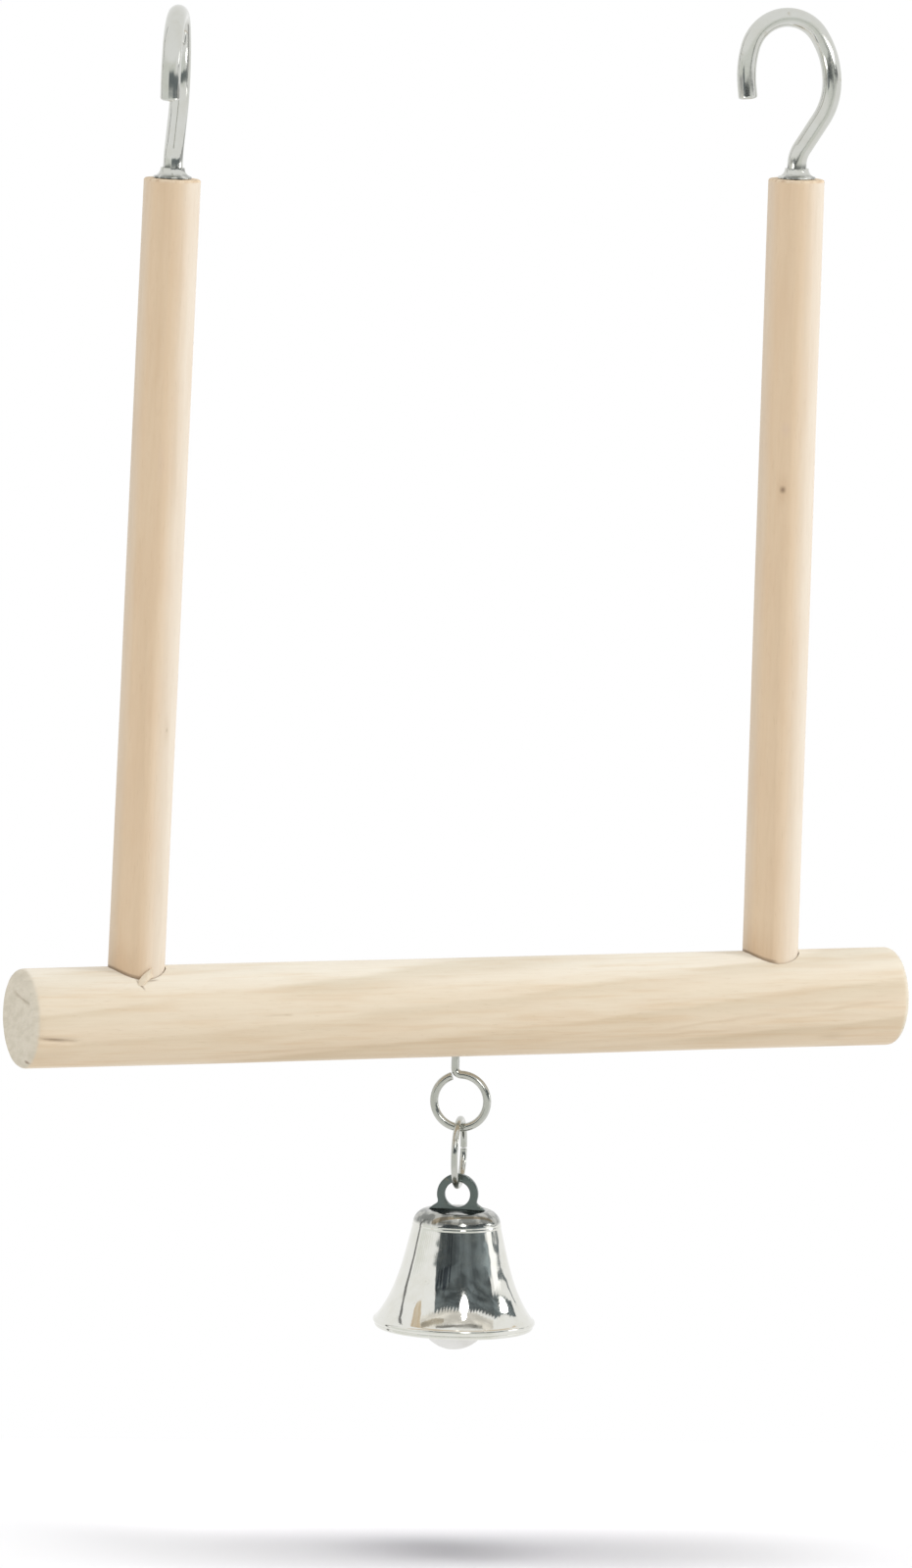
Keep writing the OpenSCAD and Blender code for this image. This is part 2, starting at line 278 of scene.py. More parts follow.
class Finish:
    """A node tree that is being filled, for a material or for the world."""

    def __init__(self, tree):
        self.tree = tree
        tree.nodes.clear()

    def add(self, kind, settings=None, sockets=None, output=0):
        """Adds a node, with its settings first and then its sockets, and gives back one output."""
        node = self.tree.nodes.new(kind)
        for name, value in (settings or {}).items():
            setattr(node, name, value)
        for name, value in (sockets or {}).items():
            if isinstance(value, Reading):
                self.tree.links.new(value.socket, node.inputs[name])
            else:
                node.inputs[name].default_value = value
        return Reading(self, node.outputs[output]) if node.outputs else None

    def maths(self, operation, *values):
        """One Math node."""
        return self.add("ShaderNodeMath", {"operation": operation}, dict(enumerate(values)))

    def place(self):
        """Where a point of the piece lies, in millimetres, as three readings."""
        spot = self.add("ShaderNodeTexCoord", output="Object")
        large = self.add("ShaderNodeVectorMath", {"operation": "SCALE"}, {0: spot, "Scale": 1 / MM})
        parts = self.add("ShaderNodeSeparateXYZ", None, {0: large})
        return [Reading(self, parts.socket.node.outputs[i]) for i in range(3)]

    def cloud(self, spot, detail, rough=0.5):
        """Smooth noise, about 0.5, at a spot of three numbers. One unit of them is one lump."""
        place = self.add("ShaderNodeCombineXYZ", None, dict(enumerate(spot)))
        return self.add(
            "ShaderNodeTexNoise",
            {"noise_dimensions": "3D"},
            {"Vector": place, "Scale": 1.0, "Detail": detail, "Roughness": rough},
        )

    def ramp(self, value, low, high, start=0.0, end=1.0):
        """A smooth step from start to end as value goes from low to high."""
        return self.add(
            "ShaderNodeMapRange",
            {"interpolation_type": "SMOOTHSTEP"},
            {0: value, 1: low, 2: high, 3: start, 4: end},
        )

    def blend(self, factor, first, second, how="MIX"):
        """Two colours mixed."""
        sides = [v if isinstance(v, Reading) else (*v, 1.0) for v in (first, second)]
        return self.add(
            "ShaderNodeMix",
            {"data_type": "RGBA", "blend_type": how},
            {0: factor, 6: sides[0], 7: sides[1]},
            output=2,
        )

    def bump(self, height, depth):
        """A normal from a height of 0 to 1 that stands for depth millimetres."""
        return self.add("ShaderNodeBump", None, {"Height": height, "Strength": 1.0, "Distance": depth * MM})

    def surface(self, **sockets):
        """The shader and the output. A socket's name is written with _ for its spaces."""
        named = {name.replace("_", " "): value for name, value in sockets.items()}
        shader = self.add("ShaderNodeBsdfPrincipled", None, named)
        self.add("ShaderNodeOutputMaterial", None, {"Surface": shader})


def new_material(name):
    """A material with an empty tree, and the finish that fills it."""
    material = bpy.data.materials.new(name)
    material.use_nodes = True
    return material, Finish(material.node_tree)


def mark(mix, along, around, at, size, slope, soft):
    """A soft-edged mark on a dowel, as 0 to 1. Its place, length and width are in millimetres.

    Slope is what it moves round the dowel for each millimetre along it, and soft is the share of its
    half length and half width over which it fades.
    """
    run = along - at[0]
    off = around - at[1] - run * slope
    ends = mix.ramp(abs(run), size[0] * (1 - soft) / 2, size[0] / 2, 1.0, 0.0)
    sides = mix.ramp(abs(off), size[1] * (1 - soft) / 2, size[1] / 2, 1.0, 0.0)
    return ends * sides


def tint(mix, amount, colour, shade):
    """The colour, darkened by a shade where amount is 1."""
    return mix.blend(amount, colour, mix.blend(1.0, colour, shade, "MULTIPLY"))


def grain(mix, colour, lines, along, across, deep, seed, strong):
    """Growth lines, soft patches, fibres and pores. Lines counts the growth lines up to this point."""
    wander = mix.cloud((along / 30 + seed, across / 6, deep / 6), 2.0)
    phase = mix.maths("FRACT", lines + wander * 0.5)
    late = mix.ramp(phase, 0.3, 0.84) * mix.ramp(phase, 0.86, 1.0, 1.0, 0.0)
    bold = mix.ramp(mix.cloud((along / 34, across / 5 + seed, deep / 5), 1.0), 0.25, 0.65)
    fibre = mix.cloud((along / 6, across * 2.4, deep * 2.4 + seed), 3.0, 0.6)
    thread = mix.cloud((along / 1.8 + seed, across * 6.5, deep * 6.5), 2.0, 0.5)
    patch = mix.cloud((along / 12, across / 3.2 + seed, deep / 3.2), 2.0)
    pores = mix.ramp(thread, 0.62, 0.74)
    sap = mix.cloud((along / 15 + seed, across / 0.9, deep / 0.9), 2.0, 0.6)
    colour = tint(mix, mix.ramp(sap, 0.45, 0.75) * 0.8 * strong, colour, (0.94, 0.885, 0.82))
    colour = tint(mix, late * bold * strong, colour, (0.88, 0.855, 0.81))
    colour = tint(mix, mix.ramp(patch, 0.4, 0.7) * 0.6, colour, (0.975, 0.95, 0.93))
    colour = tint(mix, mix.ramp(fibre, 0.35, 0.75) * 0.5, colour, (0.945, 0.93, 0.905))
    colour = tint(mix, pores * 0.3, colour, (0.86, 0.82, 0.76))
    return colour, late, fibre, pores


def crevice(mix, away, side):
    """Painted shade in the corner between a piece and its neighbour, on one side only. Away is the
    distance.
    """
    return mix.ramp(away, 0.05, 0.32, 1.0, 0.0) * side


def perch_wood():
    """Pale dowel wood with slanting growth lines, its sawn ends, and its own splits and stains."""
    wood = bpy.context.scene.swing_dowels
    material, mix = new_material("perch_wood")
    x, y, z = mix.place()
    front = y * -1.0
    up = z - perch_axis
    around = mix.maths("ARCTAN2", up, front) * perch_radius
    lines = (up - x * wood.run_out) / (wood.ring_spacing / MM) + 0.24
    # The perch runs from warm wood below, through pale wood, to a painted sheen along its top.
    colour = mix.blend(mix.ramp(up, -5.5, 2.5), wood.warm, wood.pale)
    colour = mix.blend(mix.ramp(up, 2.5, 6.9), colour, wood.painted_crest_sheen)
    # Painted light: a lighter band along the very bottom edge of the perch.
    colour = mix.blend(mix.ramp(up, -6.0, -6.9), colour, tone(244, 230, 210))
    colour, late, fibre, pores = grain(mix, colour, lines, x, front, up, 3.1, 1.0)

    wander = mix.cloud((x / 9, around / 4, 0.5), 2.0)
    drift = around + wander * 1.8 - 0.9
    streaks = (
        mark(mix, x, drift, (36.5, -2.2), (26.0, 0.9), 0.1, 0.9)
        + mark(mix, x, drift, (56.0, -0.5), (22.0, 0.8), 0.08, 0.9)
        + mark(mix, x, drift, (22.0, -4.6), (50.0, 1.1), 0.06, 0.9) * 0.7
        + mark(mix, x, drift, (-22.0, -5.2), (70.0, 1.3), 0.05, 0.9) * 0.7
    )
    colour = tint(mix, mix.maths("MINIMUM", streaks, 1.0) * 0.5, colour, (0.85, 0.8, 0.74))
    stains = (
        mark(mix, x, drift, (54.7, -5.4), (6.0, 2.2), 0.0, 1.0) * 0.4
        + mark(mix, x, around, (-30.2, 0.6), (6.0, 0.5), 0.03, 0.9) * 0.45
        + mark(mix, x, around, (-28.6, 0.6), (2.0, 0.55), 0.0, 0.9) * 0.4
        + mark(mix, x, around, (57.0, -8.4), (11.0, 1.0), 0.0, 0.9) * 0.8
    )
    split = mark(mix, x, around, (-62.8, -2.2), (7.5, 0.9), -0.09, 1.0)
    notch = mark(mix, x, around, (-49.8, 5.6), (1.2, 1.0), -1.6, 0.9)
    # Painted shadow of the splinter, on the perch beside the left joint.
    splinter_shadow = mark(mix, x, around, (-47.9, 6.4), (2.4, 0.55), 0.12, 0.9)
    colour = mix.blend(mix.maths("MINIMUM", stains, 1.0) * 0.6, colour, tone(184, 161, 128))
    colour = mix.blend(split * 0.55, colour, wood.flaws_and_painted_shade)
    colour = mix.blend(notch * 0.7, colour, wood.flaws_and_painted_shade)
    colour = mix.blend(splinter_shadow * 0.4, colour, wood.flaws_and_painted_shade)
    for side in SIDES:
        top, axis = seat(side)
        run = (top.z - perch_axis - perch_radius) / axis.z
        foot_x = top.x - axis.x * run
        near = ((x - foot_x) ** 2.0 + y ** 2.0) ** 0.5
        shut = mix.ramp(x, foot_x - 0.6, foot_x, 1.0, 0.0)
        # Painted shade in the corner round the foot of each upright, on one side.
        crevice_shade = crevice(mix, near - dowel_radius, shut)
        colour = mix.blend(crevice_shade * mix.ramp(up, 0.0, 1.0) * 0.6, colour, wood.flaws_and_painted_shade)

    end = mix.ramp(abs(x), perch_half - 1.0, perch_half - 0.35)
    left = mix.ramp(x, 0.0, -1.0)
    rays = mix.cloud(((front + up * 0.5) / 2.6, up * 1.1 - front * 0.3, x / 50), 3.0, 0.6)
    sawn = mix.cloud((front * 1.3, up * 1.3, x / 9), 3.0, 0.7)
    end_tone = tint(mix, mix.ramp(rays, 0.35, 0.7), wood.end_grain, (0.88, 0.88, 0.86))
    end_tone = mix.blend(mix.ramp(sawn, 0.55, 0.75) * 0.35, end_tone, tone(236, 231, 219))
    crack = mark(mix, front, up, (1.0, 2.9), (7.4, 0.55), -0.13, 0.9) * left
    speck = mark(mix, front, up, (3.4, -5.6), (1.3, 0.8), 0.0, 0.9) * left
    end_tone = mix.blend(crack * 0.4, end_tone, tone(160, 148, 128))
    end_tone = mix.blend(speck * 0.7, end_tone, wood.flaws_and_painted_shade)
    colour = mix.blend(end, colour, end_tone)

    rough = 0.62 + fibre * 0.16 + end * 0.12
    height = 0.5 + late * 0.1 - fibre * 0.3 - pores * 0.25 - split * 0.6 - crack * end * 0.5
    normal = mix.bump(height + end * sawn * 0.4, 0.05)
    mix.surface(Base_Color=colour, Roughness=rough, Normal=normal, Specular_IOR_Level=0.4)
    return material


def splinter_wood():
    """The torn, pale wood of the splinter."""
    wood = bpy.context.scene.swing_dowels
    material, mix = new_material("splinter_wood")
    x, y, z = mix.place()
    torn = mix.cloud((x * 2, y * 2, z / 2), 2.0)
    colour = tint(mix, mix.ramp(torn, 0.35, 0.7) * 0.6, wood.pale, (0.92, 0.88, 0.83))
    mix.surface(Base_Color=colour, Roughness=0.65, Normal=mix.bump(torn, 0.06), Specular_IOR_Level=0.4)
    return material


def upright_wood(side):
    """Warmer dowel wood, with its own cut of the board on each side."""
    wood = bpy.context.scene.swing_dowels
    material, mix = new_material("upright_wood_" + side)
    top, axis = seat(side)
    x, y, z = mix.place()
    right = x - top.x
    rise = z - top.z
    across = right * axis.z - rise * axis.x
    along = right * axis.x + rise * axis.z
    front = y * -1.0
    turned = across * 0.93 + front * 0.37
    seed = 17.3 if side == "left" else 41.9
    # Painted light: the uprights go from warm wood to a painted sheen on their right sides, and again on
    # their far left edges.
    colour = mix.blend(mix.ramp(turned, 0.2, 3.7), wood.upright_warm, wood.upright_painted_sheen)
    colour = mix.blend(mix.ramp(turned, -2.2, -4.0) * 0.6, colour, wood.upright_painted_sheen)
    lines = (across + front * 0.4 + along * 0.012) / 3.1
    colour, late, fibre, pores = grain(mix, colour, lines, along, across, front, seed, 0.28)
    around = mix.maths("ARCTAN2", across, front) * dowel_radius
    if side == "right":
        knot = mark(mix, along, around, (-43.5, -2.1), (1.5, 1.3), 0.0, 1.0)
        halo = mark(mix, along, around, (-43.5, -2.1), (6.5, 2.6), 0.0, 1.0)
        stain = mark(mix, along, around, (-35.0, -2.0), (3.0, 2.2), 0.0, 1.0)
    else:
        knot = mark(mix, along, around, (-76.0, 1.6), (1.0, 0.5), 0.0, 1.0) * 0.4
        halo = mark(mix, along, around, (-76.0, 1.6), (7.0, 1.6), 0.0, 1.0)
        stain = mark(mix, along, around, (-39.0, -1.2), (9.0, 1.4), 0.0, 1.0) * 0.6
    colour = tint(mix, halo * 0.35, colour, (0.8, 0.72, 0.62))
    colour = mix.blend(stain * 0.3, colour, tone(212, 186, 168))
    colour = mix.blend(knot * 0.75, colour, wood.flaws_and_painted_shade)

    # Painted shade: each upright darkens towards the perch on its shaded side.
    skin = (y ** 2.0 + (z - perch_axis) ** 2.0) ** 0.5
    shaded = mix.ramp(turned, 1.6, -0.6)
    near = mix.ramp(skin, perch_radius + 5.5, perch_radius)
    colour = tint(mix, near * shaded * 0.5, colour, (0.84, 0.77, 0.7))
    # Painted shade in the corner where the upright meets the perch, on its shaded side.
    crevice_shade = crevice(mix, skin - perch_radius, mix.ramp(turned, 1.2, 0.2))
    colour = mix.blend(crevice_shade * 0.5, colour, wood.flaws_and_painted_shade)

    end = mix.ramp(along, -0.5, -0.15)
    sawn = mix.cloud((across * 1.4, front * 1.4, along / 9), 3.0, 0.7)
    end_tone = mix.blend(mix.ramp(sawn, 0.4, 0.7), tone(226, 206, 178), tone(202, 176, 146))
    colour = mix.blend(end, colour, end_tone)
    rough = 0.5 + fibre * 0.16 + end * 0.2
    height = 0.5 + late * 0.1 - fibre * 0.3 - pores * 0.25 - knot * 0.4
    mix.surface(
        Base_Color=colour, Roughness=rough, Normal=mix.bump(height, 0.04), Specular_IOR_Level=0.5
    )
    return material


def plated(name, plate, gloss, lump, wave, seed, dark_band=None):
    """Bright metal plate: a slow unevenness, smudges and a little tarnish.

    Lump is how wide the unevenness is and wave how deep, in millimetres. Dark band is the height where
    a darker band is full, the height where it ends, and how patchy it is.
    """
    material, mix = new_material(name)
    x, y, z = mix.place()
    slow = mix.cloud((x / lump + seed, y / lump, z / lump), 2.0)
    smudge = mix.cloud((x / 2.4, y / 2.4 + seed, z / 2.4), 4.0, 0.6)
    spots = mix.cloud((x / 1.1 + seed, y / 1.1, z / 1.1), 2.0, 0.5)
    stained = mix.ramp(spots, 0.66, 0.8)
    colour = tint(mix, mix.ramp(smudge, 0.35, 0.75) * 0.25, plate, tone(232, 228, 214))
    colour = mix.blend(stained * 0.3, colour, tone(168, 156, 134))
    rough = gloss + mix.ramp(smudge, 0.4, 0.8) * 0.06 + stained * 0.1
    # A darker band by height; on the bell's crown it is a painted reflection.
    if dark_band:
        full, end, patchy = dark_band
        patch = mix.cloud((x * 0.8 + seed, y * 0.8, z * 0.4), 2.0, 0.6)
        darkening = mix.ramp(z, end, full) * (mix.ramp(patch, 0.38, 0.56) * patchy + (1 - patchy))
        colour = mix.blend(darkening * 0.8, colour, tone(80, 84, 82))
        rough = rough + darkening * 0.12
    height = slow * 0.95 + smudge * 0.05
    mix.surface(Base_Color=colour, Metallic=1.0, Roughness=rough, Normal=mix.bump(height, wave))
    return material


def satin_ball():
    """The clapper's ball: dull pale metal."""
    bell = bpy.context.scene.swing_bell
    material, mix = new_material("ball_steel")
    x, y, z = mix.place()
    smudge = mix.cloud((x / 3, y / 3, z / 3), 3.0, 0.6)
    grit = mix.cloud((x * 5, y * 5, z * 5), 2.0, 0.6)
    colour = mix.blend(mix.ramp(smudge, 0.35, 0.7) * 0.4, bell.ball_tone, tone(206, 204, 198))
    mix.surface(
        Base_Color=colour, Metallic=1.0, Roughness=0.34 + smudge * 0.12, Normal=mix.bump(grit, 0.01)
    )
    return material


# making meshes


def lathe(profile, sides):
    """Points and faces of a profile of (radius, height) turned about Z. A radius of nothing is a pole."""
    points, rows, faces = [], [], []
    for radius, height in profile:
        first = len(points)
        count = 1 if radius < POLE else sides
        for i in range(count):
            a = 2 * math.pi * i / sides
            points.append(Vector((radius * math.cos(a), radius * math.sin(a), height)))
        rows.append(range(first, first + count))
    for low, high in zip(rows, rows[1:]):
        faces += skin_between(low, high, sides)
    return points, faces


def skin_between(low, high, sides):
    """Faces between two rows of points, where either may be a pole."""
    faces = []
    for i in range(sides):
        j = (i + 1) % sides
        if len(low) == 1:
            faces.append((low[0], high[j], high[i]))
        elif len(high) == 1:
            faces.append((low[i], low[j], high[0]))
        else:
            faces.append((low[i], low[j], high[j], high[i]))
    return faces


class Bend:
    """A flat run of wire, drawn with straight runs and bends, in millimetres."""

    def __init__(self, across, up, heading):
        self.spot = Vector((across, up))
        self.heading = math.radians(heading)
        self.travel = 0.0
        self.stations = []
        self.note()

    def way(self):
        """The direction that the wire runs in now."""
        return Vector((math.sin(self.heading), math.cos(self.heading)))

    def note(self):
        """Keeps a station: its place, its direction, and the length of wire up to it."""
        self.stations.append((self.spot.copy(), self.way(), self.travel))

    def run(self, distance, step=0.6):
        """Goes straight on."""
        count = max(1, round(distance / step))
        for _ in range(count):
            self.spot += self.way() * distance / count
            self.travel += distance / count
            self.note()
        return self

    def bend(self, radius, angle, step=4.0):
        """Turns to the right by angle degrees, or to the left where it is below nothing."""
        count = max(2, round(abs(angle) / step))
        part = math.radians(angle) / count
        chord = 2 * radius * math.sin(abs(part) / 2)
        for _ in range(count):
            self.heading += part / 2
            self.spot += self.way() * chord
            self.heading += part / 2
            self.travel += radius * abs(part)
            self.note()
        return self


def wire(stations, radius_at, sides, ends):
    """Round wire along flat stations of (spot, way, travel), with its cut ends bevelled by ends."""
    spot, way, start = stations[0]
    last_spot, last_way, finish = stations[-1]
    quarter = [math.radians(a) for a in (0, 22.5, 45, 67.5, 90)]
    bevel = [(1 - math.cos(a), 1 - math.sin(a)) for a in quarter]
    rows = [(spot, way, start, 0.0)]
    for on, less in bevel:
        rows.append((spot + way * ends[0] * on, way, start, ends[0] * less))
    for s, w, t in stations:
        if start + ends[0] * 1.05 < t < finish - ends[1] * 1.05:
            rows.append((s, w, t, 0.0))
    for on, less in reversed(bevel):
        rows.append((last_spot - last_way * ends[1] * on, last_way, finish, ends[1] * less))
    rows.append((last_spot, last_way, finish, 0.0))
    points, groups, faces = [], [], []
    for index, (spot, way, travel, less) in enumerate(rows):
        first = len(points)
        pole = index in (0, len(rows) - 1)
        side = Vector((way.y, -way.x))
        for i in range(1 if pole else sides):
            a = 2 * math.pi * i / sides
            r = 0.0 if pole else radius_at(travel, a) - less
            flat = spot + side * r * math.cos(a)
            points.append(Vector((flat.x, r * math.sin(a), flat.y)))
        groups.append(range(first, len(points)))
    for low, high in zip(groups, groups[1:]):
        faces += skin_between(low, high, sides)
    return points, faces


def stand(points, degrees=0.0, at=(0, 0, 0)):
    """Turns points about Z and moves them."""
    turned = Matrix.Rotation(math.radians(degrees), 3, "Z")
    return [turned @ p + Vector(at) for p in points]


def clean_mesh(mesh, crease):
    """Faces outward, no doubled points, and a hard edge wherever two faces meet at more than crease."""
    work = bmesh.new()
    work.from_mesh(mesh)
    bmesh.ops.remove_doubles(work, verts=work.verts, dist=1e-7)
    bmesh.ops.recalc_face_normals(work, faces=work.faces)
    for face in work.faces:
        face.smooth = True
    for edge in work.edges:
        edge.smooth = len(edge.link_faces) == 2 and edge.calc_face_angle(0.0) < math.radians(crease)
    work.to_mesh(mesh)
    work.free()


def new_piece(name, points, faces, material=None, crease=CREASE):
    """An object from points in millimetres."""
    mesh = bpy.data.meshes.new(name)
    mesh.from_pydata([p * MM for p in points], [], faces)
    if material:
        mesh.materials.append(material)
    clean_mesh(mesh, crease)
    piece = bpy.data.objects.new(name, mesh)
    bpy.context.scene.collection.objects.link(piece)
    return piece


def drill(piece, cutters, crease=CREASE):
    """Takes each cutter out of piece, and throws the cutters away."""
    for cutter in cutters:
        cut = piece.modifiers.new("drill", "BOOLEAN")
        cut.operation = "DIFFERENCE"
        cut.solver = "EXACT"
        cut.object = cutter
    shaped = piece.evaluated_get(bpy.context.evaluated_depsgraph_get())
    mesh = bpy.data.meshes.new_from_object(shaped)
    piece.modifiers.clear()
    old = piece.data
    piece.data = mesh
    mesh.name = old.name
    bpy.data.meshes.remove(old)
    for cutter in cutters:
        spare = cutter.data
        bpy.data.objects.remove(cutter)
        bpy.data.meshes.remove(spare)
    clean_mesh(mesh, crease)


def settle(piece, body, slot, *nodes):
    """The piece moves with its body and stands for its nodes, which it hides. Slot is not used."""
    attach(piece, body)
    if nodes:
        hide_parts(*nodes)


def spread(low, high, count):
    """Count + 1 numbers from low to high."""
    return [low + (high - low) * i / count for i in range(count + 1)]


def round_corner(radius, height, bevel, rising):
    """Points of a quarter round between a flat end and a side."""
    turns = spread(0.0, math.pi / 2, 5)
    corner = [(radius - bevel * (1 - math.sin(a)), bevel * (1 - math.cos(a))) for a in turns]
    if rising:
        return [(r, height + h) for r, h in corner]
    return [(r, height - h) for r, h in reversed(corner)]


def dowel_profile(radius, size, bevels, step, rings):
    """Half the outline of a dowel, from the middle of one end to the middle of the other."""
    inner = [(r, 0.0) for r in spread(0.0, radius - bevels[0], rings)[:-1]]
    outer = [(r, size) for r in reversed(spread(0.0, radius - bevels[1], rings)[:-1])]
    side = spread(bevels[0], size - bevels[1], round(size / step))[1:-1]
    return (
        inner + round_corner(radius, 0.0, bevels[0], True)
        + [(radius, h) for h in side]
        + round_corner(radius, size, bevels[1], False) + outer
    )


def near_line(x, y, start, end):
    """Distance from a point to a stretch of line."""
    a, b, p = Vector(start), Vector(end), Vector((x, y))
    t = max(0.0, min(1.0, (p - a).dot(b - a) / (b - a).length_squared))
    return (p - (a + (b - a) * t)).length


# the pieces


class SWING_OT_perch(bpy.types.Operator):
    """Make the perch: a dowel with rounded ends, two sockets, a pilot hole, and its grain and splits"""

    bl_idname = "swing.perch"
    bl_label = "Perch"

    def execute(self, context):
        wood = context.scene.swing_dowels
        bevel = wood.perch_bevel / MM
        points, faces = lathe(dowel_profile(perch_radius, perch_half * 2, (bevel, bevel), 0.6, 18), 144)
        shaped = [self.worn(p, wood.relief / MM) for p in points]
        perch = new_piece("perch_dowel", shaped, faces, perch_wood())
        drill(perch, self.sockets(wood) + [self.pilot(context.scene.swing_bell)])
        settle(perch, "wooden_frame", "perch_wood", "perch")
        return {"FINISHED"}

    def worn(self, p, relief):
        """A point of the dowel laid along X, moved by the grain, the split and the crack in its end."""
        x, front, up = p.z + perch_low.x, p.x, p.y
        if math.hypot(front, up) > POLE:
            grain = noise.noise(Vector((x / 24, front * 0.9, up * 0.9)))
            sway = noise.noise(Vector((x / 60 + 7, front / 9, up / 9)))
            less = relief * (1 + grain) + 0.03 * (1 + sway)
            if x < -58:
                around = math.atan2(up, front) * perch_radius
                split = near_line(x, around, (-66.0, -1.93), (-60.0, -2.45))
                less += 0.3 * max(0.0, 1 - split / 0.42)
            front, up = front * (1 - less / perch_radius), up * (1 - less / perch_radius)
        if x < perch_low.x + 0.01:
            crack = near_line(front, up, (-2.0, 3.4), (4.2, 2.5))
            x += 0.3 * max(0.0, 1 - crack / 0.35)
            x += 0.05 * (1 + noise.noise(Vector((front * 0.8, up * 0.8, 3.0))))
        if x > perch_high.x - 0.01:
            x -= 0.05 * (1 + noise.noise(Vector((front * 0.8, up * 0.8, 5.0))))
        return Vector((x, -front, up + perch_axis))

    def sockets(self, wood):
        """One stepped cutter for each upright, wider at the socket's mouth."""
        bore, mouth = dowel_radius + ROOM, dowel_radius + wood.socket_gap / MM
        bottom = -dowel_length - 0.02
        flare, above = 2.2, 6.0
        rim = bottom + wood.socket_depth / MM - flare
        top = rim + above
        profile = [(0, bottom), (bore, bottom), (bore, rim - 0.3), (mouth, rim), (mouth, top), (0, top)]
        points, faces = lathe(profile, 72)
        return [new_piece("socket", on_seat(points, side), faces) for side in SIDES]

    def pilot(self, bell):
        """The cutter of the screw eye's hole."""
        bore, deep = bell.eye_wire / MM / 2 + ROOM, EYE_SHANK + 0.3
        points, faces = lathe([(0, -1.0), (bore, -1.0), (bore, deep), (0, deep)], 24)
        points = [p - Vector((EYE_NECK, 0, 0)) for p in points]
        return new_piece("pilot", on_line(points, perch_low.z), faces)


class SWING_OT_splinter(bpy.types.Operator):
    """Make the splinter that lifts from the perch in front of the left joint"""

    bl_idname = "swing.splinter"
    bl_label = "Splinter"

    def execute(self, context):
        outline = [
            (-1.19, 4.9), (-1.01, 5.6), (-0.56, 6.2), (-0.1, 6.65), (0.3, 6.95), (0.8, 7.3),
            (0.62, 6.6), (0.95, 6.05), (0.5, 5.75), (-0.1, 5.35), (-0.64, 4.85),
        ]
        foot = perch_axis - seat("left")[0].z
        middle = Vector((-0.2, 5.8))
        points = []
        for thick in (0.0, 0.4):
            for shrink in (1.0, 0.5):
                for spot in outline:
                    at = middle + (Vector(spot) - middle) * shrink
                    out = dowel_radius + 0.12 + max(0.0, 5.9 - at.y) * 0.75
                    out += thick * (1 if shrink < 1 else 0.4)
                    angle = at.x / dowel_radius
                    points.append(Vector((out * math.sin(angle), -out * math.cos(angle), at.y + foot)))
        count = len(outline)
        faces = [tuple(range(count, 2 * count)), tuple(range(3 * count, 4 * count))]
        for low, high in ((0, count), (2 * count, 3 * count), (0, 2 * count)):
            faces += skin_between(range(low, low + count), range(high, high + count), count)
        splinter = new_piece("left_joint_splinter", on_seat(points, "left"), faces, splinter_wood())
        settle(splinter, "wooden_frame", "perch_wood")
        return {"FINISHED"}


class SWING_OT_uprights(bpy.types.Operator):
    """Make the two uprights: thin dowels with a softened top end and a bore for the hook's screw"""

    bl_idname = "swing.uprights"
    bl_label = "Uprights"

    def execute(self, context):
        wood = context.scene.swing_dowels
        relief = wood.relief / MM
        hooks = context.scene.swing_hooks
        bore, deep = hooks.wire / MM / 2 + ROOM, hooks.shank / MM + 0.3
        for side, seed in zip(SIDES, (3.0, 8.0)):
            profile = dowel_profile(dowel_radius, dowel_length, (0.2, wood.upright_bevel / MM), 0.7, 10)
            points, faces = lathe(profile, 96)
            shaped = []
            for p in points:
                grain = noise.noise(Vector((p.x * 1.1 + seed, p.y * 1.1, p.z / 26)))
                sway = noise.noise(Vector((p.x / 7, p.y / 7 + seed, p.z / 45)))
                keep = 1 - (relief * (1 + grain) + 0.02 * (1 + sway)) / dowel_radius
                shaped.append(Vector((p.x * keep, p.y * keep, p.z - dowel_length)))
            upright = new_piece(f"upright_{side}_dowel", on_seat(shaped, side), faces, upright_wood(side))
            points, faces = lathe([(0, -deep), (bore, -deep), (bore, 1), (0, 1)], 48)
            drill(upright, [new_piece("bore", on_seat(points, side), faces)])
            settle(upright, "wooden_frame", "upright_wood", "upright_" + side)
        return {"FINISHED"}


def hook_stations(hooks):
    """The hook's wire from the point of its screw to its cut tip, from the top of the upright."""
    kink, tip, leaned = 4.0, 2.0, 33
    path = Bend(0.0, -hooks.shank / MM, 0)
    path.run(hooks.shank / MM, hooks.pitch / MM / 9).run(hooks.stem / MM, 0.4)
    path.bend(kink, -leaned).run(hooks.crank / MM)
    path.bend(hooks.heel / MM, leaned, 3).bend(hooks.back / MM, 35, 2.5)
    path.bend(hooks.crown / MM, 130).bend(hooks.open_side / MM, 22, 3)
    return path.run(tip, 0.5).stations


def screw_radius(radius, shank, pitch, point, start):
    """How far out the wire's skin lies: a thread on the shank, a point at its end, plain wire above."""

    def at(travel, angle):
        if travel > shank - start:
            return radius
        turn_on = (travel / pitch - angle / (2 * math.pi)) % 1
        ridge = max(0.0, 1 - abs(turn_on - 0.5) / 0.32)
        fade = min(1.0, (shank - start - travel) / 1.2)
        taper = 0.18 + 0.82 * min(1.0, travel / point)
        return radius * taper * (1 - 0.24 * fade * (1 - ridge))

    return at


